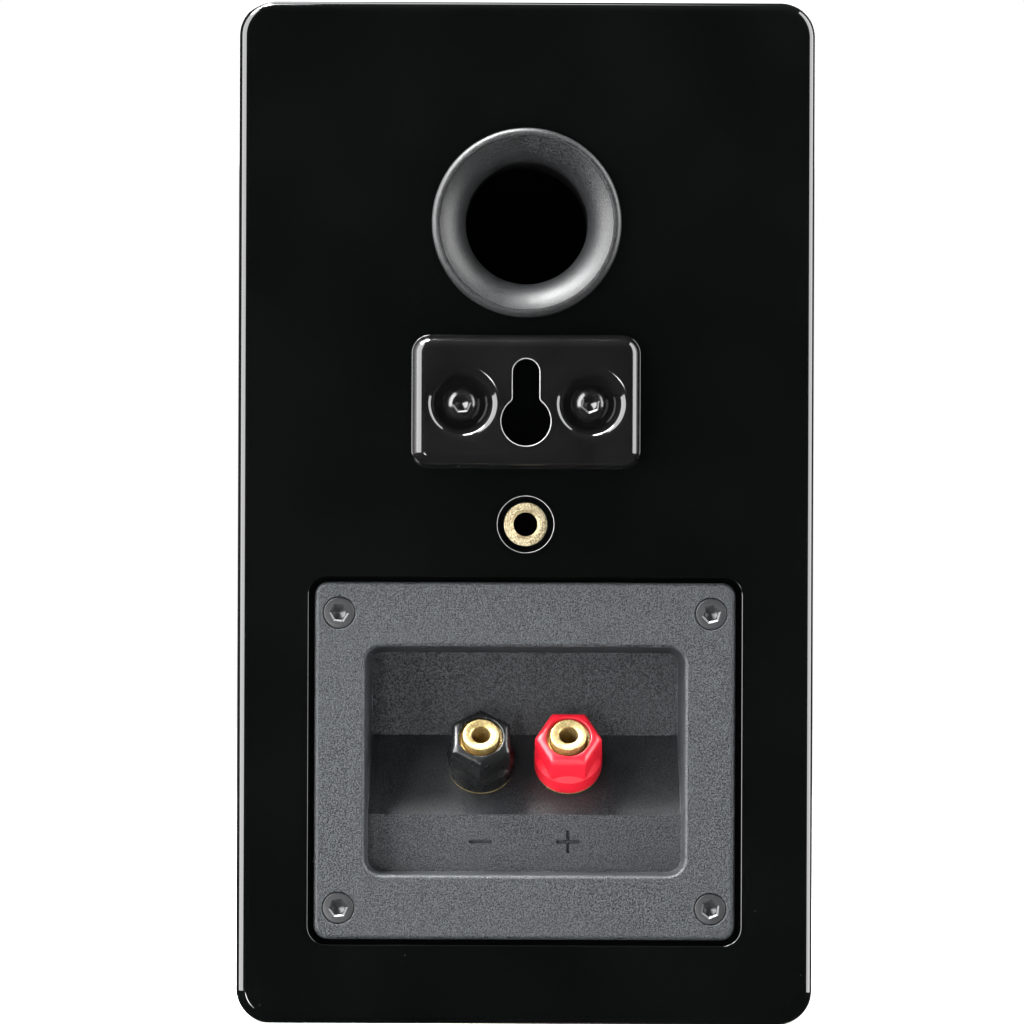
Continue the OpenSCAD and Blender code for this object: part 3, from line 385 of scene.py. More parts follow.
def surface(name, colours, grain, rough, relief=0.0, relief_grain=None, detail=4.0, specks=None, soft=0.15,
            **sockets):
    """Noise of one size (mm) runs between two colours and two roughnesses; a finer one makes a relief (mm).
    specks is (size, how rare, colour) of sparse light specks; soft is how gradually the colours change."""
    material = bpy.data.materials.new(name)
    material.use_nodes = True
    tree = material.node_tree
    nodes, links = tree.nodes, tree.links
    shader = nodes["Principled BSDF"]
    place = nodes.new("ShaderNodeTexCoord")

    def noise_of(size):
        texture = nodes.new("ShaderNodeTexNoise")
        texture.inputs["Scale"].default_value = 1 / (size * MM)
        texture.inputs["Detail"].default_value = detail
        texture.inputs["Roughness"].default_value = 0.6
        links.new(place.outputs["Object"], texture.inputs["Vector"])
        return texture.outputs["Fac"]

    mottle = noise_of(grain)
    colour = ramped(tree, mottle, (0.5 - soft, 0.5 + soft), colours)
    if specks:
        size, rare, tint = specks
        mix = nodes.new("ShaderNodeMix")
        mix.data_type = "RGBA"
        sparse = ramped(tree, noise_of(size), (rare, rare + 0.03), (grey(0), grey(1)))
        links.new(sparse, mix.inputs["Factor"])
        links.new(colour, mix.inputs["A"])
        mix.inputs["B"].default_value = (*tint, 1)
        colour = mix.outputs["Result"]
    links.new(colour, shader.inputs["Base Color"])
    links.new(remapped(tree, mottle, (0.3, 0.7), rough), shader.inputs["Roughness"])
    if relief:
        embossed(tree, noise_of(relief_grain or grain), relief)
    for socket, value in sockets.items():
        shader.inputs[socket.replace("_", " ")].default_value = value
    return material


def woven(name, dark, light, pitch, relief):
    """Plain weave: crossing threads of one pitch (mm), followed round the edges of what it covers."""
    material = surface(name, (dark, light), 2.5, (0.75, 0.95), Sheen_Weight=0.35, Sheen_Roughness=0.4)
    tree = material.node_tree
    nodes, links = tree.nodes, tree.links
    place = next(n for n in nodes if n.bl_idname == "ShaderNodeTexCoord")
    split = nodes.new("ShaderNodeSeparateXYZ")
    links.new(place.outputs["Object"], split.inputs["Vector"])

    def math_node(operation, *values):
        node = nodes.new("ShaderNodeMath")
        node.operation = operation
        for socket, value in zip(node.inputs, values):
            if isinstance(value, (int, float)):
                socket.default_value = value
            else:
                links.new(value, socket)
        return node.outputs[0]

    across = math_node("ADD", split.outputs["X"], split.outputs["Y"])
    along = math_node("ADD", split.outputs["Z"], split.outputs["Y"])
    turns = 2 * pi / (pitch * MM)
    weave = math_node("MULTIPLY", math_node("SINE", math_node("MULTIPLY", across, turns)),
                      math_node("SINE", math_node("MULTIPLY", along, turns)))
    height = math_node("MULTIPLY_ADD", weave, 0.5, 0.5)
    # The colour darkens where the weave runs low: painted shade between the threads.
    colour = ramped(tree, height, (0.15, 0.85), (dark, light))
    links.new(colour, nodes["Principled BSDF"].inputs["Base Color"])
    embossed(tree, height, relief)
    return material


def grey(value, tint=(1.0, 1.0, 1.0)):
    return tuple(value * t for t in tint)


# Tints of the greys: cool, the plate's and the lacquer's
COOL, CHILLED, DEEP = (0.95, 1.0, 1.06), (0.87, 1.0, 1.11), (0.90, 1.04, 1.0)
MATERIALS = {
    "black_lacquer": surface(
        "gloss black lacquer", (grey(0.0008, DEEP), grey(0.0012, DEEP)), 30, (0.035, 0.045), 0.003, 7,
        1.0, (0.35, 0.80, grey(0.06))),
    "bracing_board": surface(
        "sawn fibreboard", ((0.28, 0.17, 0.09), (0.42, 0.28, 0.16)), 1.5, (0.75, 0.95), 0.08, 0.6),
    "foam": surface("damping foam", (grey(0.03), grey(0.07)), 2.0, (0.9, 1.0), 0.6, 1.1),
    "port_plastic": surface(
        "satin port plastic", (grey(0.001, COOL), grey(0.018, COOL)), 0.30, (0.38, 0.48), 0.06, 0.30, 2.0,
        soft=0.10),
    "tube_card": surface("card tube", (grey(0.010), grey(0.018)), 3, (0.6, 0.8), 0.02, 0.6),
    "black_steel": surface(
        "gloss coated steel", (grey(0.0024), grey(0.0032)), 12, (0.08, 0.11), 0.006, 3.5, 1.0,
        (0.3, 0.81, grey(0.05))),
    "screw_steel": surface(
        "blackened steel", (grey(0.014, COOL), grey(0.018, COOL)), 2.5, (0.31, 0.34), 0.002, 0.3,
        IOR=1.55),
    "button_steel": surface(
        "glossy blackened steel", (grey(0.003), grey(0.005)), 2.5, (0.19, 0.21), 0.002, 0.3, IOR=1.65),
    # Lighter grey that paints a highlight on the rounded rims of holes.
    "rim_highlight_paint": surface("painted rim highlight", (grey(0.13), grey(0.22)), 0.4, (0.3, 0.36), 0.004, 0.2),
    "insert_brass": surface(
        "rough cut brass", ((0.20, 0.12, 0.05), (1.0, 0.90, 0.60)), 0.20, (0.3, 0.5), 0.12, 0.20, 3.0,
        soft=0.07, Metallic=0.85),
    "plate_plastic": surface(
        "grained plate plastic", (grey(0.001, CHILLED), grey(0.040, CHILLED)), 0.30, (0.42, 0.54), 0.14,
        0.32, 2.0, soft=0.10),
    # Smoother plastic for the shelf, darker as painted shade.
    "shelf_plastic_shade_painted": surface(
        "smoother shelf plastic with painted shade", (grey(0.001, CHILLED), grey(0.018, CHILLED)), 0.30, (0.34, 0.44), 0.07,
        0.32, 2.0, soft=0.10),
    "gasket_foam": surface("closed cell foam", (grey(0.008), grey(0.016)), 0.8, (0.8, 0.95), 0.05, 0.4),
    "gold_plate": surface(
        "gold plated brass", ((0.50, 0.36, 0.13), (0.82, 0.65, 0.33)), 0.5, (0.34, 0.38), 0.010, 0.3,
        Metallic=0.88),
    "zinc_steel": surface(
        "zinc plated steel", (grey(0.42), grey(0.56)), 4, (0.28, 0.42), 0.01, 0.8, Metallic=1.0),
    "cap_black": surface(
        "black cap plastic", (grey(0.0038, COOL), grey(0.0046, COOL)), 2, (0.27, 0.28), 0.001, 0.5),
    "cap_red": surface(
        "red cap plastic", ((0.34, 0.0050, 0.013), (0.37, 0.0060, 0.015)), 2, (0.30, 0.31), 0.001, 0.5),
    "board_green": surface(
        "solder mask", ((0.010, 0.07, 0.025), (0.016, 0.10, 0.035)), 5, (0.25, 0.4), 0.01, 1.0),
    "nylon": surface("nylon", (grey(0.55), grey(0.66)), 2, (0.4, 0.55), 0.01, 0.8),
    "copper_wire": surface(
        "enamelled copper", ((0.45, 0.14, 0.05), (0.68, 0.26, 0.11)), 0.8, (0.22, 0.36), 0.08, 0.5,
        Metallic=0.85),
    "film_yellow": surface(
        "film wrap", ((0.55, 0.36, 0.03), (0.66, 0.45, 0.05)), 4, (0.2, 0.35), 0.01, 1.5),
    "ceramic_white": surface("cement resistor", (grey(0.55), grey(0.70)), 0.8, (0.8, 0.95), 0.06, 0.5),
    "lead_red": surface("red lead", ((0.45, 0.012, 0.012), (0.56, 0.02, 0.02)), 3, (0.35, 0.5), 0.01, 1),
    "lead_black": surface("black lead", (grey(0.012), grey(0.02)), 3, (0.35, 0.5), 0.01, 1),
    "cast_frame": surface("coated cast frame", (grey(0.020), grey(0.034)), 0.9, (0.4, 0.6), 0.03, 0.5),
    "surround_rubber": surface("butyl rubber", (grey(0.010), grey(0.016)), 3, (0.42, 0.55), 0.01, 0.7),
    "cone_paper": surface("coated paper cone", (grey(0.018), grey(0.034)), 1.4, (0.5, 0.7), 0.05, 0.9),
    "spider_cloth": surface(
        "resin dipped cloth", ((0.36, 0.20, 0.06), (0.50, 0.31, 0.11)), 0.7, (0.7, 0.9), 0.06, 0.5),
    "ferrite": surface("ferrite", (grey(0.045), grey(0.075)), 1.2, (0.55, 0.75), 0.03, 0.5),
    "tweeter_plastic": surface(
        "satin face plastic", (grey(0.016), grey(0.026)), 0.8, (0.35, 0.5), 0.012, 0.35),
    "dome_metal": surface(
        "anodised dome", (grey(0.50, COOL), grey(0.62, COOL)), 2.2, (0.24, 0.34), 0.004, 0.8,
        Metallic=1.0),
    "grille_plastic": surface("grille plastic", (grey(0.012), grey(0.020)), 1.0, (0.4, 0.6), 0.02, 0.5),
    "grille_cloth": woven("knitted grille cloth", grey(0.004), grey(0.030), 0.85, 0.16),
}


# ---- Camera, light and floor ----

def make_camera():
    """The photograph's view: level, straight at the rear, from about three metres."""
    camera = in_scene("camera", bpy.data.cameras.new("camera"))
    distance, aim_x, aim_z, roll = 3.0, 2.95, 111.18, radians(0.22)
    camera.location = (aim_x * MM, REAR_Y * MM + distance, aim_z * MM)
    camera.rotation_mode = "QUATERNION"
    facing = Vector((0, -1, 0)).to_track_quat("-Z", "Y")
    camera.rotation_quaternion = facing @ Matrix.Rotation(roll, 3, "Z").to_quaternion()
    camera.data.sensor_width, camera.data.lens = 36.0, 485.8
    camera.data.clip_start, camera.data.clip_end = 0.1, 20
    bpy.context.scene.camera = camera


def softbox(name, centre, aim, width, height, radiance):
    """Rectangular light of an even radiance, seen in reflections and not by the camera."""
    data = bpy.data.lights.new(name, "AREA")
    data.shape, data.size, data.size_y = "RECTANGLE", width, height
    data.energy = radiance * pi * width * height
    light = in_scene(name, data)
    light.location = centre
    light.rotation_mode = "QUATERNION"
    light.rotation_quaternion = (Vector(aim) - Vector(centre)).to_track_quat("-Z", "Y")
    light.visible_camera = False


def make_lights():
    softbox("left", (0.83, 0.52, 0.65), (0.0, 0.30, 0.65), 0.95, 1.45, 12.5)
    softbox("right", (-0.91, 0.20, 0.65), (0.0, 0.20, 0.65), 0.80, 1.45, 11.0)
    softbox("upper left key", (0.62, 0.25, 0.98), (0.0, 0.05, 0.10), 0.36, 0.36, 50.0)
    softbox("top key", (0.27, 0.20, 1.15), (0.0, 0.05, 0.10), 0.32, 0.32, 110.0)
    softbox("low fill", (0.48, 2.00, -0.25), (0.0, 0.08, 0.08), 0.25, 0.25, 34.0)
    softbox("overhead", (0.29, -0.36, 1.00), (0.17, 0.06, 0.15), 0.5, 1.0, 7.0)
    softbox("front fill", (0.10, -2.20, 0.95), (0.0, 0.0, 0.10), 1.5, 1.5, 5.0)


def make_world():
    """Soft grey surroundings, dark round the photograph's camera, and white as a backdrop."""
    world = bpy.data.worlds.new("studio")
    bpy.context.scene.world = world
    world.use_nodes = True
    tree = world.node_tree
    nodes, links = tree.nodes, tree.links
    soft = nodes["Background"]
    place = nodes.new("ShaderNodeTexCoord")
    split = nodes.new("ShaderNodeSeparateXYZ")
    links.new(place.outputs["Generated"], split.inputs["Vector"])
    colour = ramped(tree, split.outputs["Y"], (0.55, 0.95), ((0.12, 0.123, 0.128), (0.020, 0.022, 0.022)))
    links.new(colour, soft.inputs["Color"])
    links.new(remapped(tree, split.outputs["Z"], (-0.3, 0.1), (0.3, 1.0)), soft.inputs["Strength"])
    white = nodes.new("ShaderNodeBackground")
    white.inputs["Color"].default_value = (1, 1, 1, 1)
    ray = nodes.new("ShaderNodeLightPath")
    mix = nodes.new("ShaderNodeMixShader")
    links.new(ray.outputs["Is Camera Ray"], mix.inputs["Fac"])
    links.new(soft.outputs["Background"], mix.inputs[1])
    links.new(white.outputs["Background"], mix.inputs[2])
    links.new(mix.outputs["Shader"], nodes["World Output"].inputs["Surface"])


def make_floor():
    """Pale floor that glows as a lit sweep does, which is painted light: white far off, and glowing less
    near the object, where it is soft with shadow.
    """
    half = 4.0
    mesh = bpy.data.meshes.new("floor")
    edge = [(-half, -half, 0), (half, -half, 0), (half, half, 0), (-half, half, 0)]
    mesh.from_pydata(edge, [], [(0, 1, 2, 3)])
    floor = in_scene("floor", mesh)
    material = surface("pale floor", (grey(0.70), grey(0.74)), 400, (0.8, 0.9))
    tree = material.node_tree
    shader = tree.nodes["Principled BSDF"]
    place = tree.nodes.new("ShaderNodeTexCoord")
    away = tree.nodes.new("ShaderNodeVectorMath")
    away.operation = "LENGTH"
    tree.links.new(place.outputs["Object"], away.inputs[0])
    shader.inputs["Emission Color"].default_value = (1, 1, 1, 1)
    # Painted light: the floor's own glow, weaker near the object and full far off.
    glow = remapped(tree, away.outputs["Value"], (0.3, 1.1), (0.45, 1.0))
    tree.links.new(glow, shader.inputs["Emission Strength"])
    mesh.materials.append(material)
    floor.visible_glossy = False
    floor.visible_shadow = False


# ---- Cabinet ----

def leave_raw(body):
    """Bare board inside the cabinet and down the drilled holes: all that lies deeper than the lacquer.
    The insert's hole is painted down to its end."""
    body.data.materials.append(MATERIALS["bracing_board"])
    skin = 6.0
    hole_r, hole_end = INSERT_R + 0.5, REAR_Y - REAR_WALL + 0.5
    half_w, half_h = CABINET_W / 2 - skin, CABINET_H / 2 - skin
    for face in body.data.polygons:
        x, y, z = face.center / MM
        painted = abs(x) < hole_r and abs(z - INSERT_Z) < hole_r and y > hole_end
        deep = abs(x) < half_w and abs(z - MID_Z) < half_h and FRONT_Y + skin < y < REAR_Y - skin
        if deep and not painted:
            face.material_index = 1


def make_cabinet():
    depth, seam = REAR_Y - SEAM_Y, 0.2
    sides = [(-seam, -depth), (0, -depth + seam)] + rounded_edge(REAR_EDGE_R, 0, 12)
    body = loft("cabinet_shell", layers(grown_rect(CABINET_W, CABINET_H, CORNER_R, 12), sides),
                out_of_rear(z=MID_Z))
    inside = rect_outline(CABINET_W - 2 * WALL, CABINET_H - 2 * WALL, 1.0, 3)
    opening = rect_outline(CUTOUT_W, CUTOUT_H, 0.5, 3)
    rebate = [(0, -REBATE_DEPTH)] + flared_edge(0.3, 0)
    clearance, pilot_start, pilot_end, bracket_hole_r, bracket_hole_depth = 0.6, -3, -14, 2.05, 12
    cutters = [
        straight_cutter(inside, -depth - CUT_THROUGH, -REAR_WALL, out_of_rear(z=MID_Z)),
        round_cutter(COLLAR_R + clearance, -REAR_WALL - 1, CUT_THROUGH, out_of_rear(z=PORT_Z), 64),
        loft("cutter", layers(grown_rect(REBATE_W, REBATE_H, 4.0), rebate), out_of_rear(z=PLATE_Z)),
        straight_cutter(opening, -REAR_WALL - CUT_THROUGH, -REBATE_DEPTH + CUT_THROUGH,
                        out_of_rear(z=PLATE_Z))]
    for x, z in corners(PLATE_SCREW_X, PLATE_SCREW_Z):
        spot = out_of_rear(x, PLATE_Z + z)
        cutters.append(round_cutter(PLATE_SCREW_R + 0.05, pilot_end, pilot_start, spot, 24))
    insert_hole_r, insert_end = INSERT_R + 0.05, -INSERT_SINK - INSERT_L - 0.05
    counterbore = [(0, insert_end), (insert_hole_r, insert_end), (insert_hole_r, -INSERT_SINK),
                   (COUNTERBORE_R, -INSERT_SINK)]
    counterbore += [(COUNTERBORE_R + g, z) for g, z in flared_edge(0.2, 0)] + [(0, CUT_THROUGH)]
    cutters.append(lathe("cutter", counterbore, out_of_rear(z=INSERT_Z), 96))
    pocket_r, pocket_depth, half_slot = 7.5, 5, (KEYHOLE_TOP_Z - KEYHOLE_Z) / 2
    pocket = [(x, y + copysign(half_slot, y)) for x, y in around(48, pocket_r, degrees(0.02))]
    cutters.append(straight_cutter(pocket, -pocket_depth, CUT_THROUGH,
                                   out_of_rear(z=(KEYHOLE_Z + KEYHOLE_TOP_Z) / 2)))
    for x in (-BRACKET_PITCH / 2, BRACKET_PITCH / 2):
        spot = out_of_rear(x, DISH_Z)
        cutters.append(round_cutter(bracket_hole_r, -bracket_hole_depth, CUT_THROUGH, spot, 24))
    combine(body, cutters)
    fit(body, "black_lacquer", "enclosure", ["cabinet"])
    leave_raw(body)
    # The counterbore's rounded rim gets a painted highlight.
    paint_rim_highlight(body, INSERT_Z, COUNTERBORE_R + 0.5, COUNTERBORE_R + 0.5, REAR_Y)


def make_baffle():
    thick, seam = SEAM_Y - FRONT_Y, 0.2
    sides = [(-seam, -thick), (0, -thick + seam)] + rounded_edge(BAFFLE_EDGE_R, 0, 10)
    body = loft("baffle_board", layers(grown_rect(CABINET_W, CABINET_H, CORNER_R, 12), sides),
                out_of_front(z=MID_Z))
    cutters = []
    for name, axis_z, seat_r, hole_r in DRIVER_SEATS:
        seat = [(0, -thick - 1), (hole_r, -thick - 1), (hole_r, -SEAT_DEPTH), (seat_r, -SEAT_DEPTH)]
        seat += [(seat_r + g, h) for g, h in flared_edge(0.3, 0)] + [(0, CUT_THROUGH)]
        cutters.append(lathe("cutter", seat, out_of_front(z=axis_z), 128))
        count, circle_r, first, screw_r = DRIVER_SCREWS[name][:4]
        for x, z in around(count, circle_r, first):
            spot = out_of_front(x, axis_z + z)
            cutters.append(round_cutter(screw_r + 0.05, -DRIVER_HOLE_DEPTH, -3, spot, 24))
    for x, z in corners(CUP_X, MID_Z - CUP_Z):
        spot = out_of_front(x, MID_Z + z)
        cutters.append(round_cutter(CUP_HOLE_R, -CUP_HOLE_DEPTH, CUT_THROUGH, spot, 32))
    combine(body, cutters)
    fit(body, "black_lacquer", "enclosure", ["front_baffle"])
    leave_raw(body)


def make_wadding():
    """Foam pads with softened edges and an uneven, open surface."""
    pads = in_scene("foam_pads", frame["nodes"]["wadding"].data.copy())
    remesh = pads.modifiers.new("remesh", "REMESH")
    cell, sink, ripple, coarse, fine = 2.6, 0.5, 0.25, 180, 600
    remesh.mode, remesh.voxel_size = "VOXEL", cell * MM
    settle(pads)
    low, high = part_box("wadding")
    for v in pads.data.vertices:
        depth = sink * (1 + noise.noise(v.co * coarse)) + ripple * noise.noise(v.co * fine)
        v.co -= v.normal * max(depth, 0) * MM
        v.co = Vector(min(max(c, a), b) for c, a, b in zip(v.co, low, high))
    fit(pads, "foam", "enclosure", ["wadding"], 80)


# ---- Port ----

def make_port():
    lip_r, lip_t, bead_r = 20.6, 2.2, 1.25
    bead = arc(lip_r - bead_r, lip_t - bead_r, bead_r, 0, 108, 14)
    mouth_r, mouth_h, curve_r, curve_x = 18.88, lip_t - 0.2, 9.7, 22.85
    first, last = (degrees(asin((curve_x - r) / curve_r)) for r in (mouth_r, PORT_R))
    centre_h = mouth_h - curve_r * cos(radians(first))
    parting = [(mouth_r + 0.08, mouth_h - 0.10)]
    curve = arc(curve_x, centre_h, curve_r, 90 + first, 90 + last, 30)
    end_h = curve[-1][1]
    throat = [(PORT_R, end_h - 1.2), (PORT_R, -FLARE_DEPTH)]
    collar_in, collar_end = PORT_R + 2.05, -FLARE_DEPTH - 12
    profile = ([(COLLAR_R, 0.0), (lip_r - 0.2, 0.0), (lip_r, 0.2)] + bead[1:] + parting + curve + throat
               + [(collar_in, -FLARE_DEPTH), (collar_in, collar_end), (COLLAR_R, collar_end)])
    ring = lathe("port_flare_ring", profile, out_of_rear(z=PORT_Z), 160)
    fit(ring, "port_plastic", "enclosure", ["port_flare"])


# ---- Wall bracket, insert and screws ----

def make_bracket():
    corner, edge = 4.0, 3.0

    def shell(name, smaller, heights):
        outline = grown_rect(BRACKET_W - 2 * smaller, BRACKET_H - 2 * smaller, corner - smaller, 12)
        return loft(name, layers(outline, heights), out_of_rear(z=BRACKET_Z))

    foot_r, foot_h, step, inner_top = 0.25, 0.6, 0.35, BRACKET_T - SHEET_T
    sides = [(0, 0)] + rounded_edge(foot_r, foot_h, 5)
    sides += [(g - step, z) for g, z in rounded_edge(edge - step, BRACKET_T, 14)]
    body = shell("keyhole_bracket", 0, sides)
    hollow = shell("cutter", SHEET_T, [(0, -CUT_THROUGH)] + rounded_edge(edge - SHEET_T, inner_top, 14))
    floor_r, top_r, rim_r, lip_r, slope = 5.2, 8.6, 9.6, 2.7, 65
    lip_top = BRACKET_T + 0.003
    dish = [(0, SHEET_T), (floor_r, SHEET_T)] + arc(top_r, lip_top - lip_r, lip_r, 90 + slope, 90, 18)
    dish += [(rim_r, lip_top), (rim_r, BRACKET_T + CUT_THROUGH), (0, BRACKET_T + CUT_THROUGH)]
    boss = [(0, -2), (floor_r + 0.6, -2), (floor_r + 2.6, BRACKET_T - 1.5 * SHEET_T), (top_r, BRACKET_T),
            (0, BRACKET_T)]
    screw_hole_r = 2.3
    bosses, dishes = [], []
    for x in (-BRACKET_PITCH / 2, BRACKET_PITCH / 2):
        spot = out_of_rear(x, DISH_Z)
        bosses.append(lathe("boss", boss, spot, 96))
        dishes += [lathe("cutter", dish, spot, 128), round_cutter(screw_hole_r, -1, 3, spot, 32)]
    combine(hollow, bosses)
    combine(body, [hollow] + dishes)
    keyhole = loft("cutter", layers(keyhole_outline, [(0, -CUT_THROUGH)] + flared_edge(0.28, BRACKET_T)),
                   out_of_rear(z=KEYHOLE_Z))
    combine(body, [keyhole])
    fit(body, "black_steel", "enclosure", ["wall_bracket"], 40)
    # The keyhole's rounded rim gets a painted highlight.
    lowest, highest, margin = KEYHOLE_Z - KEYHOLE_R, KEYHOLE_TOP_Z + SLOT_R, 0.65
    half_h = (highest - lowest) / 2 + margin
    paint_rim_highlight(body, (lowest + highest) / 2, KEYHOLE_R + margin, half_h, REAR_Y + BRACKET_T)


def hex_socket(flats, depth, top, place):
    """Cutters for a hexagon socket with chamfered sides to its mouth and a drilled cone in its floor."""
    floor, fall, cone_r, chamfer_w, chamfer_h = top - depth, 0.70, flats * 0.47, 0.42, 0.36
    sides = [(0, floor), (0, top - chamfer_h), (chamfer_w, top), (chamfer_w, top + 2)]
    prism = loft("cutter", [[(x, y, z) for x, y in hexagon(flats, grow)] for grow, z in sides], place)
    cone = lathe("cutter", [(0, floor - fall), (0.06 * cone_r, floor - 0.94 * fall), (cone_r, floor),
                            (cone_r, floor + 0.3), (0, floor + 0.3)], place, 48)
    return [prism, cone]


def make_bracket_screws():
    """Button heads with hexagon sockets, in the bracket's two dishes."""
    head_r, head_h, shank_l, shank_r, crown_r = 4.2, 2.4, 12.0, 2.0, 2.05
    dome_r = (head_r ** 2 + head_h ** 2) / (2 * head_h)
    first = degrees(asin((dome_r - head_h) / dome_r))
    dome = arc(0, head_h - dome_r, dome_r, first + 3, degrees(acos(crown_r / dome_r)), 16)
    top = dome[-1][1]
    profile = ([(0, -shank_l), (1.0, -shank_l), (shank_r, -shank_l + 2), (shank_r, 0), (head_r - 0.15, 0),
                (head_r, 0.15)] + dome + [(0, top)])
    screws = []
    for x, turn in ((-BRACKET_PITCH / 2, 0.35), (BRACKET_PITCH / 2, 0.1)):
        spot = out_of_rear(x, DISH_Z) @ Matrix.Translation((0, 0, SHEET_T)) @ Matrix.Rotation(turn, 4, "Z")
        screw = lathe("bracket_screw", profile, spot, 96)
        screws.append(combine(screw, hex_socket(SOCKET_FLATS, 1.0, top, spot)))
    heads = fit(joined("button_head_screws", screws), "screw_steel", "enclosure", ["bracket_screws"], 20)
    heads.data.materials[0] = MATERIALS["button_steel"]


def countersunk(name, head_r, shank_r, length, place):
    """Countersunk head, flush with local z = 0, with a softened rim and a hexagon socket."""
    profile = [(0, -length), (0.3, -length), (shank_r, -length + 2),
               (shank_r, -SCREW_RIM_H - head_r + shank_r), (head_r, -SCREW_RIM_H), (head_r, -0.26),
               (head_r - 0.06, -0.12), (head_r - 0.2, -0.02), (head_r - 0.32, 0), (0, 0)]
    return combine(lathe(name, profile, place, 64), hex_socket(SOCKET_FLATS, head_r * 0.3, 0, place))


def make_flush_screws():
    plate = []
    for k, (x, z) in enumerate(corners(PLATE_SCREW_X, PLATE_SCREW_Z)):
        spot = out_of_rear(x, PLATE_Z + z, PLATE_Y - SCREW_SINK)
        spot = spot @ Matrix.Rotation(0.4 + 0.9 * k, 4, "Z")
        plate.append(countersunk("screw", PLATE_SCREW_HEAD_R, PLATE_SCREW_R, 13, spot))
    fit(joined("plate_screws", plate), "screw_steel", "enclosure", ["terminal_screws"], 20)
    for driver, axis_z in (("woofer", WOOFER_Z), ("tweeter", TWEETER_Z)):
        count, circle_r, first, shank_r, length = DRIVER_SCREWS[driver]
        found = []
        for k, (x, z) in enumerate(around(count, circle_r, first)):
            spot = out_of_front(x, axis_z + z)
            spot = spot @ Matrix.Translation((0, 0, -SCREW_SINK)) @ Matrix.Rotation(0.7 * k, 4, "Z")
            found.append(countersunk("screw", DRIVER_HEAD_R, shank_r, length, spot))
        fit(joined(f"{driver}_fixings", found), "screw_steel", "enclosure", [f"{driver}_screws"], 20)


def make_insert():
    """Brass insert with a real quarter-inch, 20-thread helix down its bore."""
    steps, pitch, depth, per_pitch, steepness, crest = 96, 1.27, 0.60, 10, 2.4, 0.1
    top, bottom, mouth, root_r = -INSERT_SINK, -INSERT_SINK - INSERT_L, 0.55, INSERT_BORE_R + depth

    def plain(r, z):
        return [(x, y, z) for x, y in around(steps, r, 0)]

    def threaded(z):
        ring = []
        for k in range(steps):
            turn, a = k / steps, 2 * pi * k / steps
            flank = min(1.0, max(0.0, steepness * abs((z / pitch + turn) % 1.0 - 0.5) - crest))
            r = INSERT_BORE_R + depth * flank
            ring.append((r * cos(a), r * sin(a), z))
        return ring

    rings = [plain(r, z) for r, z in (
        (INSERT_R - 0.2, bottom), (INSERT_R, bottom + 0.2), (INSERT_R, top - 0.25),
        (INSERT_R - 0.07, top - 0.07), (INSERT_R - 0.25, top), (root_r + 0.05, top))]
    rings += [threaded(z) for z in np.linspace(top - mouth, bottom + 0.2,
                                               int((INSERT_L - mouth) / pitch * per_pitch))]
    rings.append(plain(root_r, bottom))
    body = loft("threaded_brass_insert", rings, out_of_rear(z=INSERT_Z), ring_closed=True)
    fit(body, "insert_brass", "enclosure", ["threaded_insert"], 40)


# ---- Terminal plate ----

def smooth_and_shade_shelf(plate):
    """Gives the sloped shelf, between its two creases, its smoother finish, and a darker colour that is
    painted shade where the recess's upper wall keeps light off it.
    """
    plate.data.materials.append(MATERIALS["shelf_plastic_shade_painted"])
    middle, half = PLATE_Z + (SHELF_TOP + SHELF_BOTTOM) / 2, (SHELF_TOP - SHELF_BOTTOM) / 2
    for face in plate.data.polygons:
        y, z = face.center.yz / MM
        on_shelf = abs(z - middle) < half and y < PLATE_Y - LOWER_DEPTH
        if on_shelf and face.normal.y > 0.7 and 0.35 < face.normal.z < 0.7:
            face.material_index = 1


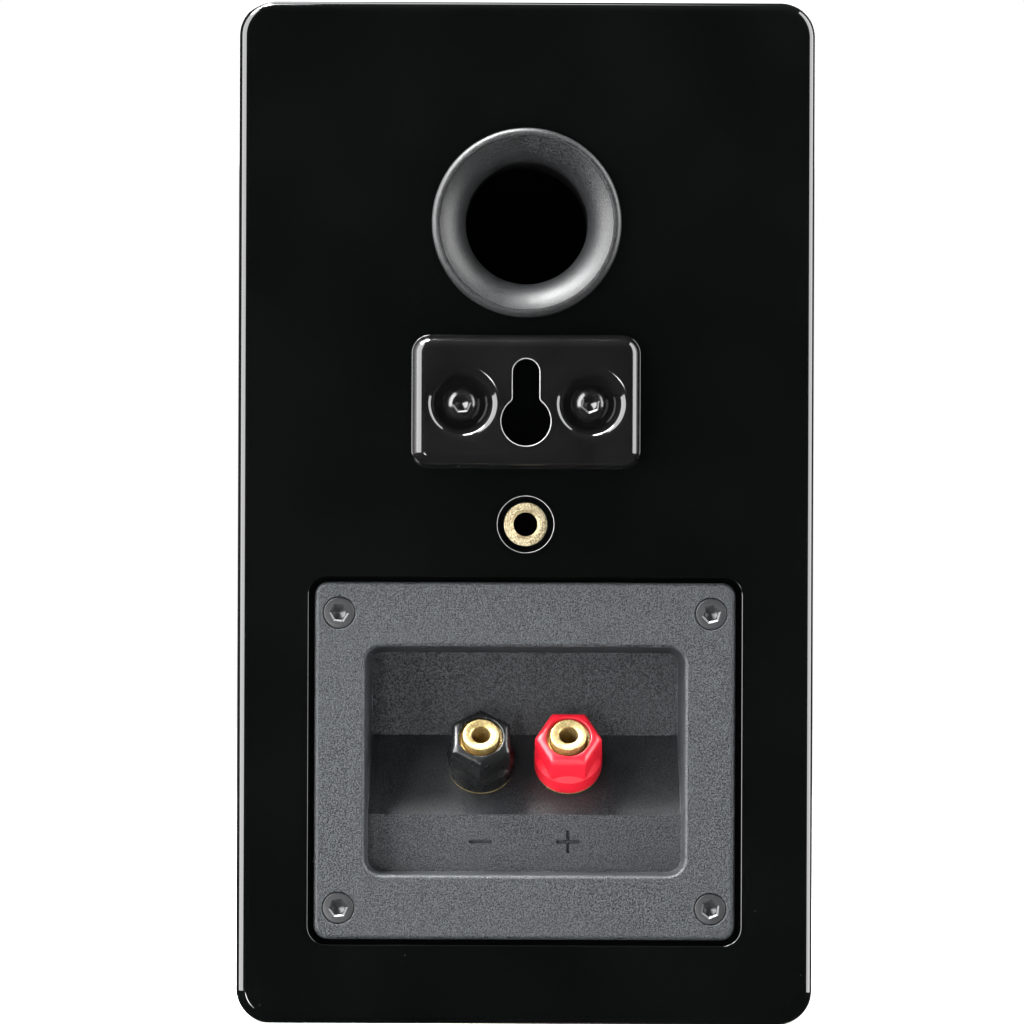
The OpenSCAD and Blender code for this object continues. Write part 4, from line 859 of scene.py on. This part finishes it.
def make_plate():
    place = out_of_rear(z=PLATE_Z, y=PLATE_Y)
    flange = [(-0.3, -PLATE_T), (0, -PLATE_T + 0.3)] + rounded_edge(1.0, 0, 8)
    face = loft("terminal_panel", layers(grown_rect(PLATE_W, PLATE_H, 3.0), flange), place)
    draft, reach, bottom, rim_r = 1.35, 45, -UPPER_DEPTH - 8, 0.9
    slope = draft / UPPER_DEPTH

    def profile_solid(grow, name):
        """Solid in front of the recess's stepped floor, or of the floor's back: extruded along X."""
        crease = grow * tan(POST_TILT / 2)
        upper, lower = -UPPER_DEPTH - grow, -LOWER_DEPTH - grow
        above = [(CUT_THROUGH + 2, -reach), (upper, -reach), (upper, -SHELF_TOP + crease, 0.4)]
        below = [(lower, -SHELF_BOTTOM + crease, 0.3), (lower, reach), (CUT_THROUGH + 2, reach)]
        side = rounded(above + below, steps=4)
        return loft(name, [[(x, y, z) for z, y in side] for x in (-reach, reach)], place)

    recess = grown_rect(RECESS_W, RECESS_H, RECESS_CORNER_R, 12)
    back = loft("back", layers(recess, [(RECESS_WALL - draft, -UPPER_DEPTH - RECESS_WALL - 2),
                                        (RECESS_WALL, -PLATE_T / 2)]), place)
    combine(back, [profile_solid(RECESS_WALL, "cutter")], "INTERSECT")
    combine(face, [back], "UNION")
    walls = [(bottom * slope, bottom), (-rim_r * slope, -rim_r)] + flared_edge(rim_r, 0, 8)[1:]
    cavity = loft("cavity", layers(recess, walls), place)
    combine(cavity, [profile_solid(0, "cutter")], "INTERSECT")
    bevelled(cavity, 0.7, angle=28, segments=4)
    combine(face, [cavity])
    cutters = []
    head_r, shank_r = PLATE_SCREW_HEAD_R + 0.15, PLATE_SCREW_R + 0.15
    seat = [(0, -5), (shank_r, -5), (shank_r, -SCREW_RIM_H - head_r + shank_r), (head_r, -SCREW_RIM_H)]
    seat += [(head_r + g, h) for g, h in flared_edge(0.18, 0, 3)] + [(0, CUT_THROUGH)]
    for x, z in corners(PLATE_SCREW_X, PLATE_SCREW_Z):
        cutters.append(lathe("cutter", seat, out_of_rear(x, PLATE_Z + z, PLATE_Y), 64))
    post_hole_r, mark_drop, long, short = 3.05, 17.7, 5.0, 0.7
    groove = [(-0.08, -0.9)] + flared_edge(0.12, 0, 3)
    for side in (-1, 1):
        cutters.append(round_cutter(post_hole_r, -4.4, 2.2, along_post(side)))
        mark = out_of_rear(side * POST_X, PLATE_Z - mark_drop, PLATE_Y - LOWER_DEPTH)
        sizes = [(long, short)] if side > 0 else [(long, short), (short, long)]
        strokes = [loft("cutter", layers(grown_rect(w, h, 0.12, 3), groove), mark) for w, h in sizes]
        cutters.append(combine(strokes[0], strokes[1:], "UNION"))
    combine(face, cutters)
    fit(face, "plate_plastic", "enclosure", ["terminal_plate"], 40)
    # The shelf is smoother and is painted darker for shade.
    smooth_and_shade_shelf(face)


# ---- Binding posts ----

def make_cap(sign, side, turn, slot):
    """Hexagon with softened corners and top over a round band that runs out to its flats in a cone."""
    place = along_post(side) @ Matrix.Rotation(turn, 4, "Z")
    edge, corner, band_top, run_out = 1.5, 0.7, CAP_BOTTOM + BAND_T, 1.5
    flats_r = CAP_FLATS / 2

    def outline(grow):
        return rounded([(x, y, corner - 1.2 * grow) for x, y in hexagon(CAP_FLATS, grow)], steps=8)

    sides = [(0, CAP_BOTTOM + 1)] + rounded_edge(edge, CAP_TOP, 9)
    cap = loft(f"{sign}_post_cap", layers(outline, sides), place)
    band = [(0, CAP_BOTTOM), (CAP_R - 0.25, CAP_BOTTOM), (CAP_R - 0.07, CAP_BOTTOM + 0.07),
            (CAP_R, CAP_BOTTOM + 0.25), (CAP_R, band_top - 0.2), (CAP_R - 0.04, band_top - 0.05),
            (CAP_R - 0.12, band_top + 0.05), (flats_r - 0.1, band_top + run_out), (0, band_top + run_out)]
    combine(cap, [lathe("band", band, place, 120)], "UNION")
    lip, mouth_r, washer_hole_r, over_bush = 0.45, 4.72, 6.25, BUSH_TOP + 0.04
    mouth = [(mouth_r + lip * (1 - cos(a)), CAP_TOP + 0.003 - lip * (1 - sin(a)))
             for a in np.linspace(0, pi / 2, 8)]
    inside = ([(0, CAP_BOTTOM - 1), (washer_hole_r + 0.1, CAP_BOTTOM - 1), (washer_hole_r + 0.1, CAP_BOTTOM),
               (washer_hole_r, CAP_BOTTOM + 0.1), (washer_hole_r, CAP_BOTTOM + WASHER_T),
               (BUSH_R, CAP_BOTTOM + WASHER_T), (BUSH_R, over_bush), (mouth_r, over_bush)] + mouth
              + [(mouth_r + lip, CAP_TOP + 1), (0, CAP_TOP + 1)])
    combine(cap, [lathe("cutter", inside, place, 120)])
    fit(cap, slot, f"{sign}_cap", [f"{sign}_cap"], 24)


def make_posts():
    wire_hole_r, bush_low = 1.5, 1.4
    socket_end, flange = STUD_END - SOCKET_DEPTH, (FLANGE_R, FLANGE_T, 0.12)
    socket = [(SOCKET_R + 0.24, STUD_END), (SOCKET_R + 0.20, STUD_END - 0.03),
              (SOCKET_R + 0.02, STUD_END - 0.22), (SOCKET_R, STUD_END - 0.3), (SOCKET_R, socket_end),
              (0, socket_end - 0.8)]
    tail = rounded([(0, -11), (3, -11, 0.4), (3, 0), (FLANGE_R, 0), flange, (STUD_R, FLANGE_T, 0.2),
                    (STUD_R, STUD_END, 0.3)], closed=False, steps=3)[:-1]
    stud_end = arc(STUD_R - 0.14, STUD_END - 0.14, 0.14, 0, 90, 4)
    inner_r, washer_top = STUD_R + 0.05, WASHER_BOTTOM + WASHER_T
    ring = rounded([(inner_r, WASHER_BOTTOM), (WASHER_R, WASHER_BOTTOM, 0.12), (WASHER_R, washer_top, 0.12),
                    (inner_r, washer_top)], steps=3)
    sleeve = rounded([(inner_r, bush_low), (BUSH_R, bush_low), (BUSH_R, BUSH_TOP, 0.2),
                      (inner_r, BUSH_TOP, 0.3)], steps=4)
    for sign, side, turn, slot in (("negative", 1, radians(30), "cap_black"),
                                   ("positive", -1, 0.0, "cap_red")):
        place = along_post(side)
        stud = lathe(f"{sign}_post_stud", tail + stud_end + socket, place, 96)
        across = Matrix.Translation((0, 0, WIRE_HOLE_H)) @ Matrix.Rotation(pi / 2, 4, "X")
        combine(stud, [round_cutter(wire_hole_r, -8, 8, place @ across)])
        fit(stud, "gold_plate", "enclosure", [f"{sign}_stud"], 38)
        washer = lathe(f"{sign}_post_washer", ring, place, 96)
        fit(washer, "gold_plate", f"{sign}_washer", [f"{sign}_clamp_washer"])
        bush = lathe(f"{sign}_post_bush", sleeve, place, 96)
        fit(bush, "gold_plate", f"{sign}_cap", [f"{sign}_cap_bush"])
        make_cap(sign, side, turn, slot)


# ---- Drivers ----

def fit_flexible(obj, slot, node):
    """Finishes a piece that bends: its material and shading, its shape fixed in place, and its CAD node
    hidden.
    """
    shade(obj, MATERIALS[slot], 60)
    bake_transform(obj)
    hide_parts(node)


def dome_shell(base_r, rise, foot, thick, inner_foot, steps):
    """Profile of a thin spherical dome over a base circle; its inside starts a height above its foot."""
    r = (base_r ** 2 + rise ** 2) / (2 * rise)
    centre = foot + rise - r
    outer = arc(0, centre, r, degrees(asin((r - rise) / r)), 90, steps)
    inner = arc(0, centre, r - thick, 90, degrees(asin((r - rise + inner_foot) / (r - thick))), steps)
    outer[-1], inner[0] = (0, outer[-1][1]), (0, inner[0][1])
    return outer + inner


def make_woofer():
    place = out_of_front(z=WOOFER_Z)
    ledge, roll_at, roll_r, sheet = -3.0, 44.0, 3.6, 0.6
    out_r, cone_r, coil_r = 51.6, 38.6, 12.95
    left, right = roll_at - roll_r, roll_at + roll_r
    upper = [(out_r, ledge + sheet), (right + 0.3, ledge + sheet)] + arc(roll_at, ledge, roll_r, 14, 166, 18)
    upper += [(left - 0.3, ledge + sheet), (cone_r, ledge + sheet)]
    lower = [(cone_r, ledge), (left + 0.5, ledge)] + arc(roll_at, ledge, roll_r - sheet, 176, 4, 18)
    lower += [(right - 0.5, ledge), (out_r, ledge)]
    roll = lathe("woofer_roll_surround", upper + lower, place, 160)
    fit_flexible(roll, "surround_rubber", "woofer_surround")

    def face(r):
        """Height of the cone's front at a radius: a funnel that steepens a little inwards."""
        return ledge - 17 * ((cone_r - r) / (cone_r - coil_r)) ** 1.15

    radii = np.linspace(38.55, 13.0, 22)
    cone = ([(40.4, ledge - 0.7), (40.4, ledge - 0.05)] + [(r, face(r) - 0.05) for r in radii]
            + [(r, face(r) - 0.75) for r in radii[:0:-1]])
    fit(lathe("woofer_paper_cone", cone, place, 160), "cone_paper", "woofer_cone", ["woofer_cone"], 50)
    cap_r = 15.5
    dust_cap = lathe("woofer_centre_cap", dome_shell(cap_r, 5.5, face(cap_r), 0.6, 0.3, 20), place, 96)
    fit(dust_cap, "cone_paper", "woofer_cone", ["woofer_dust_cap"], 50)
    in_r, flat_r, rim_r, waves, height, swing, cloth_t = 13.0, 30.4, 33.8, 5, -27, 0.9, 0.5
    wave = [(q, height + swing * sin(2 * pi * waves * (q - in_r) / (flat_r - in_r)))
            for q in np.linspace(in_r, flat_r, 90)]
    section = wave + [(rim_r, height), (rim_r, height + cloth_t)] + [(q, h + cloth_t) for q, h in wave[::-1]]
    spider = lathe("woofer_rear_spider", section, place, 128)
    fit_flexible(spider, "spider_cloth", "woofer_spider")


def make_tweeter():
    place = out_of_front(z=TWEETER_Z)
    dome_r, dome_h, base, thick = 12.7, 4.6, -5.0, 0.35
    roll_at, roll_r, sheet = dome_r + 1.7, 1.3, 0.3
    section = [(roll_at + 1.9, base), (roll_at + 1.9, base + sheet), (roll_at + 1.35, base + sheet)]
    section += arc(roll_at, base, roll_r, 12, 180, 14) + arc(roll_at, base, roll_r - sheet, 180, 0, 14)[:-1]
    roll = lathe("tweeter_roll_surround", section + [(roll_at + 1.05, base)], place, 128)
    fit_flexible(roll, "surround_rubber", "tweeter_surround")
    dome = [(dome_r + 0.35, base), (dome_r + 0.35, base + thick)]
    dome += dome_shell(dome_r, dome_h, base + thick, thick, -thick, 24)
    fit(lathe("tweeter_metal_dome", dome, place, 128), "dome_metal", "tweeter_dome", ["tweeter_dome"], 50)


# ---- Grille ----

def make_grille_cloth():
    """Cloth stretched over the grille's front and sides, with its thickness."""
    corner_r, edge_r, hem, sharpest = 6.5, 2.5, 0.15, 0.5
    place = out_of_front(z=MID_Z) @ Matrix.Translation((0, 0, GRILLE_GAP))
    top, under = GRILLE_T + CLOTH_T, GRILLE_T
    outer = [(0, hem), (0, 2.5)] + rounded_edge(edge_r, top, 10) + [(-8, top), (-20, top), (-45, top)]
    inner = [(-45, under), (-20, under), (-8, under)]
    inner += [(-CLOTH_T + g, z) for g, z in rounded_edge(edge_r - CLOTH_T, under, 10)[::-1]]
    inner += [(-CLOTH_T, 2.5), (-CLOTH_T, hem), (-CLOTH_T / 2, 0.0)]

    def ring(grow, z):
        corner = max(corner_r + grow, sharpest)
        return [(x, y, z) for x, y in rect_outline(GRILLE_W + 2 * grow, GRILLE_H + 2 * grow, corner, 12)]

    rings = [ring(g, z) for g, z in outer]
    skin = [ring(g, z) for g, z in inner]
    n = len(rings[0])
    points = [p for r in rings + skin for p in r]
    count_outer, total = len(rings), len(rings) + len(skin)
    faces = []
    for i in range(total - 1):
        if i == count_outer - 1:
            continue
        a, b = i * n, (i + 1) * n
        faces += [(a + k, a + (k + 1) % n, b + (k + 1) % n, b + k) for k in range(n)]
    last = (total - 1) * n
    faces += [(last + k, last + (k + 1) % n, (k + 1) % n, k) for k in range(n)]
    faces += [tuple(range((count_outer - 1) * n, count_outer * n)),
              tuple(range(count_outer * n, (count_outer + 1) * n))[::-1]]
    cloth = new_piece("stretched_grille_cloth", points, faces, place)
    fit(cloth, "grille_cloth", "grille", ["grille_cloth"], 50)


# ---- What stays from the CAD ----

def finish_cad_nodes():
    """Materials, and smooth shading except over sharp edges."""
    slots = {part["node"]: part["material_slot"] for part in frame["record"]["subparts"]}
    for node, obj in frame["nodes"].items():
        if obj.hide_render:
            continue
        obj.data.materials.clear()
        obj.data.materials.append(MATERIALS[slots[node]])
        for polygon in obj.data.polygons:
            polygon.use_smooth = True
        weld = obj.modifiers.new("weld", "WELD")
        weld.merge_threshold = 0.001 * MM
        split = obj.modifiers.new("sharp edges", "EDGE_SPLIT")
        split.split_angle = radians(35)


make_camera()
make_lights()
make_world()
make_floor()
make_cabinet()
make_baffle()
make_wadding()
make_port()
make_bracket()
make_bracket_screws()
make_flush_screws()
make_insert()
make_plate()
make_posts()
make_woofer()
make_tweeter()
make_grille_cloth()
finish_cad_nodes()
bpy.context.scene.view_settings.view_transform = "Standard"
